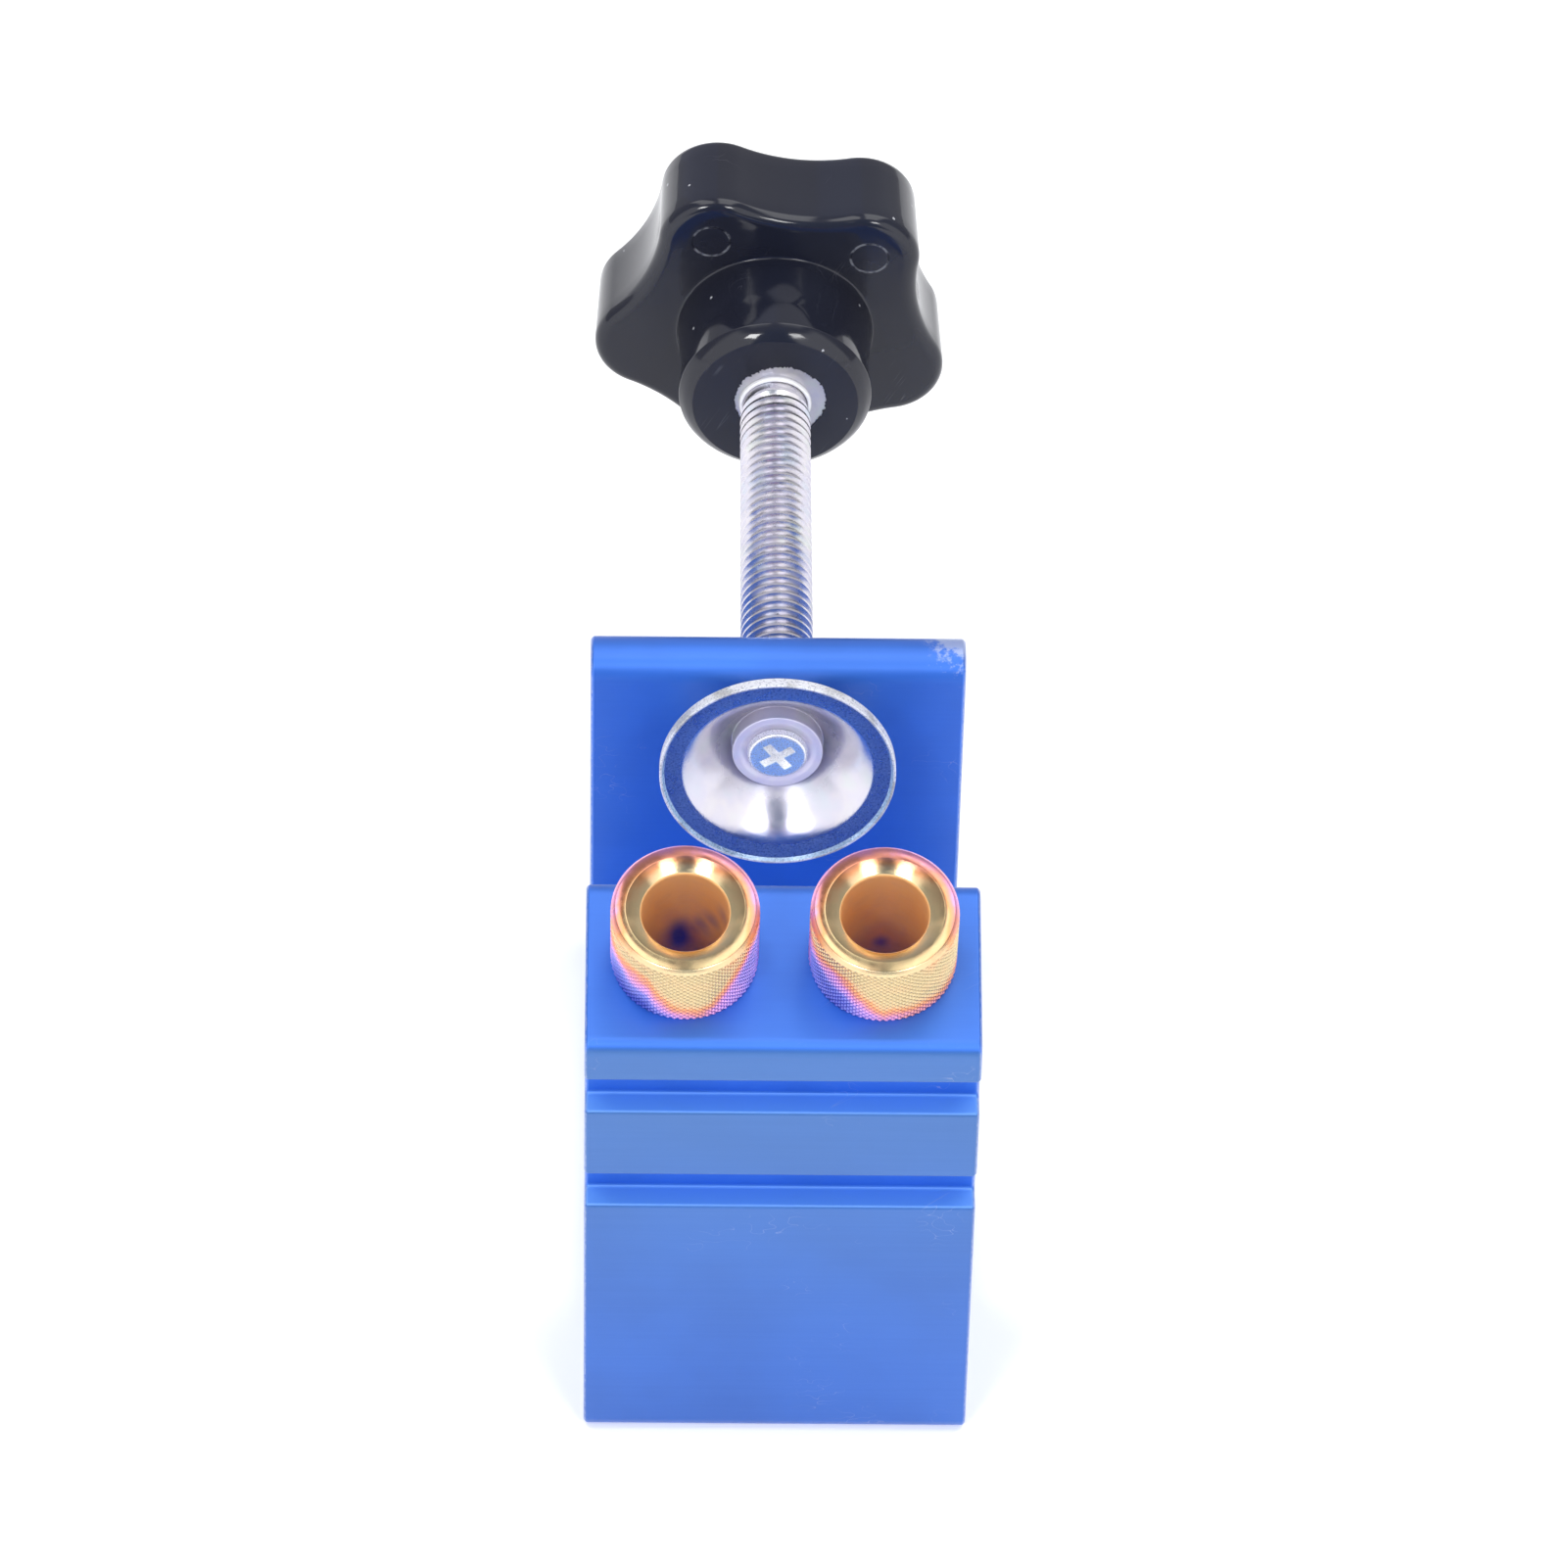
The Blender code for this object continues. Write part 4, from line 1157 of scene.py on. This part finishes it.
# %% [markdown]
# The plastic is glossy, faintly wavy from the mould, and nearly black with a cool cast. Specks of
# sawdust cling to it, and the ejector rings get a pale grey: chalk where they were rubbed, and a
# painted highlight on their edges. The hub's flat end was faced off and is less smooth.

# %% Black moulded plastic
BLACK_DEEP, BLACK_LIGHT = (0.009, 0.010, 0.019), (0.012, 0.014, 0.025)

black, shader = new_material("black_moulded_plastic", IOR=1.5, Specular_IOR_Level=0.45)
where = place_of()
flow = cloud(stretch(where, (1.0, 1.0, 0.35)), 45.0, 3.0)
colour = blend(spread(flow, 0.35, 0.65), BLACK_DEEP, BLACK_LIGHT)
dusty = use(DUST, Vector=where, Scale=400.0, Share=0.30, Size=0.10)
scratched = use(SCRATCHES, Vector=where, Scale=500.0, Angle=0.5, Start=0.6)
colour = blend(times(dusty, 0.55), colour, (0.75, 0.76, 0.80))
colour = blend(times(scratched, 0.12), colour, (0.5, 0.5, 0.55))
broken = spread(cloud(where, 900.0, 2.0), 0.38, 0.60)
for centre in ejector_centres:
    off_ring = minus(distance(where, centre), EJECTOR_RADIUS)
    off_ring = sums("ABSOLUTE", off_ring)
    # Pale grey round each ejector ring: chalky rubbing and a painted highlight on the groove's edges.
    chalk_and_highlight = times(spread(off_ring, 0.06 * MM, 0.20 * MM, 0.8, 0.0), broken)
    colour = blend(chalk_and_highlight, colour, (0.22, 0.23, 0.26))
rough = spread(cloud(where, 320.0, 4.0, 0.6), 0.3, 0.7, 0.06, 0.14)
height = axes_of(where)[2]
faced_off = spread(height, KNOB_END - 0.06 * MM, KNOB_END - 0.01 * MM, 0.0, 0.32)
rough = plus(plus(rough, faced_off), times(dusty, 0.4))
relief = bump(cloud(where, 700.0, 3.0), 0.01 * MM, 0.25)
feed(shader, Base_Color=colour, Roughness=rough, Normal=relief)

knob_place = clamp_axis @ Matrix.Translation((0, 0, HUB_END - KNOB_END))
make_piece(knob_mesh, knob_place, black, "clamp_screw", "black_knob", "star_knob")

# %% [markdown]
# The insert is a steel sleeve in the hub's end. Only its matt end face shows, and the raised lip
# where the rod's neck comes out. The lip was turned last and is bright, so the zinc finish is made
# once more with its own values, and its colour and metal change over the lip.

# %% Steel insert
INSERT_LENGTH, INSERT_MOUTH, END_FACE = 12.0 * MM, NECK_RADIUS + 0.02 * MM, -0.13 * MM

insert = fillet([
    (INSERT_MOUTH, -INSERT_LENGTH, 0),
    (INSERT_RADIUS, -INSERT_LENGTH, 0.1 * MM),
    (INSERT_RADIUS, END_FACE, 0.05 * MM),
    (CREST_RADIUS + 0.16 * MM, END_FACE, 0.02 * MM),
    (CREST_RADIUS + 0.04 * MM, 0.36 * MM, 0.20 * MM),
    (INSERT_MOUTH, 0.40 * MM, 0.12 * MM),
    (INSERT_MOUTH, 1.0 * MM - INSERT_LENGTH, 0),
])
insert_mesh = make_mesh("steel_insert", *skin(turn(insert, 96), closed=True))
matt_zinc = zinc_material(
    "matt_zinc", (0.57, 0.58, 0.58), 0.34, 0.46, 0.008 * MM, scale=5000.0, metallic=0.70
)
shader = matt_zinc.node_tree.nodes["Principled BSDF"]
on_lip = spread(axes_of(place_of())[2], -0.05 * MM, 0.12 * MM)
plain = shader.inputs["Base Color"].links[0].from_socket
feed(
    shader, Base_Color=blend(on_lip, plain, (0.90, 0.90, 0.92)),
    Metallic=minus(0.70, times(on_lip, 0.40)),
)
insert_place = clamp_axis @ Matrix.Translation((0, 0, HUB_END))
make_piece(insert_mesh, insert_place, matt_zinc, "clamp_screw", "zinc_screw", "knob_insert")

# %% [markdown]
# ## Studio
# The jig stands on a plain pale table. It looks white to the camera and in metal, but lights the
# jig no more than paper would, and it keeps the shadow.

# %% Floor
FLOOR_SIZE = 3.0
floor_mesh = bpy.data.meshes.new("table_top")
half = FLOOR_SIZE / 2
square = [(-half, -half, 0), (half, -half, 0), (half, half, 0), (-half, half, 0)]
floor_mesh.from_pydata(square, [], [[0, 1, 2, 3]])
floor = bpy.data.objects.new("table_top", floor_mesh)
floor.location.z = -0.05 * MM
bpy.context.scene.collection.objects.link(floor)

paper, shader = new_material("pale_table", Roughness=0.9, Specular_IOR_Level=0.1)
seen = add("LightPath")
shown = sums("MAXIMUM", seen.outputs["Is Camera Ray"], seen.outputs["Is Glossy Ray"])
shown = sums("MAXIMUM", shown, seen.outputs["Is Transmission Ray"])
fibres = cloud(place_of(), 1800.0, 2.0)
colour = ramp(fibres, [(0.3, (0.90, 0.90, 0.90)), (0.7, (0.93, 0.93, 0.93))])
feed(shader, Base_Color=colour, Emission_Strength=times(shown, 0.17))
shader.inputs["Emission Color"].default_value = (1.0, 1.0, 1.0, 1.0)
floor_mesh.materials.append(paper)

# %% [markdown]
# Bare metal looks like what it mirrors, so the room matters as much as the finish. The room is
# painted in the world by direction. Its walls are grey, and lighter far behind the jig. Two soft
# strips hang overhead, left and right of a darker slot that leans a little with the camera: the
# crests and the bushes show the slot as a streak. Low pale cards stand left and right in front,
# with a gap between them, and give the pad's bowl its two white flanks. It could all be lamps, but
# painted directions are easier to place. Two small softboxes give the twin highlights in the
# bushes, the pad and the hub.

# %% Room
STRIP_LIGHT, CARD_LIGHT = (2.8, 2.8, 2.8), (1.45, 1.45, 1.46)

world = bpy.data.worlds.new("studio")
bpy.context.scene.world = world
world.use_nodes = True
building.append(world.node_tree)
x, y, z = axes_of(add("TexCoord").outputs["Generated"])
aside, behind = sums("ABSOLUTE", x), sums("MAXIMUM", y, 0.0)
in_front = sums("MAXIMUM", minus(-0.35, y), 0.0)
walls = ramp(z, [
    (0.0, (0.55, 0.55, 0.57)), (0.3, (0.50, 0.50, 0.53)), (0.9, (0.41, 0.42, 0.45)),
])
far = times(spread(y, 0.42, 0.62), spread(z, 0.10, 0.30))
walls = blend(far, walls, (0.60, 0.60, 0.64))
slot = ramp(spread(y, -1.0, 1.0), [
    (0.04, (0.20, 0.25, 0.36)), (0.12, (0.28, 0.33, 0.44)), (0.24, (0.54, 0.54, 0.60)),
    (0.75, (0.50, 0.50, 0.56)), (0.94, (0.60, 0.62, 0.74)),
])
off_slot = sums("ABSOLUTE", plus(x, times(behind, 0.36)))
off_slot = minus(off_slot, times(behind, 0.28))
off_slot = minus(off_slot, times(in_front, 0.46))
beside_slot = spread(off_slot, 0.04, 0.12)
outer = minus(aside, times(y, 0.25))
strip = times(beside_slot, spread(outer, 0.44, 0.58, 1.0, 0.0))
strip = times(strip, spread(y, -0.46, -0.26))
strip = times(strip, spread(y, 0.42, 0.62, 1.0, 0.0))
inner = minus(0.46, times(z, 0.42))
card = spread(minus(aside, inner), 0.0, 0.07)
card = times(card, spread(y, -0.40, -0.30, 1.0, 0.0))
card = times(card, spread(z, 0.66, 0.78, 1.0, 0.0))
sky = blend(beside_slot, slot, walls)
sky = blend(strip, sky, STRIP_LIGHT)
sky = blend(card, sky, CARD_LIGHT)
world.node_tree.links.new(sky, world.node_tree.nodes["Background"].inputs["Color"])
print("strips shine at", STRIP_LIGHT[0], "and cards at", CARD_LIGHT[0])


# %% Softboxes
SOFTBOX_SIZE, SOFTBOX_DISTANCE = 0.18, 0.9
SOFTBOX_AIM = Vector((0.0, 30.0, 40.0)) * MM


def softbox(name, azimuth, elevation, power):
    """A square lamp that faces the jig, at an azimuth from the front and an elevation."""
    a, e = math.radians(azimuth), math.radians(elevation)
    toward = Vector((math.sin(a) * math.cos(e), -math.cos(a) * math.cos(e), math.sin(e)))
    lamp = bpy.data.lights.new(name, "AREA")
    lamp.shape, lamp.energy = "RECTANGLE", power
    lamp.size = lamp.size_y = SOFTBOX_SIZE
    made = bpy.data.objects.new(name, lamp)
    facing = toward.to_track_quat("Z", "Y").to_matrix().to_4x4()
    made.matrix_world = Matrix.Translation(SOFTBOX_AIM + toward * SOFTBOX_DISTANCE) @ facing
    bpy.context.scene.collection.objects.link(made)
    print(name, "at", [round(v, 2) for v in made.matrix_world.translation])


softbox("softbox_left", -28.0, 40.0, 2.0)
softbox("softbox_right", 26.0, 41.0, 1.3)
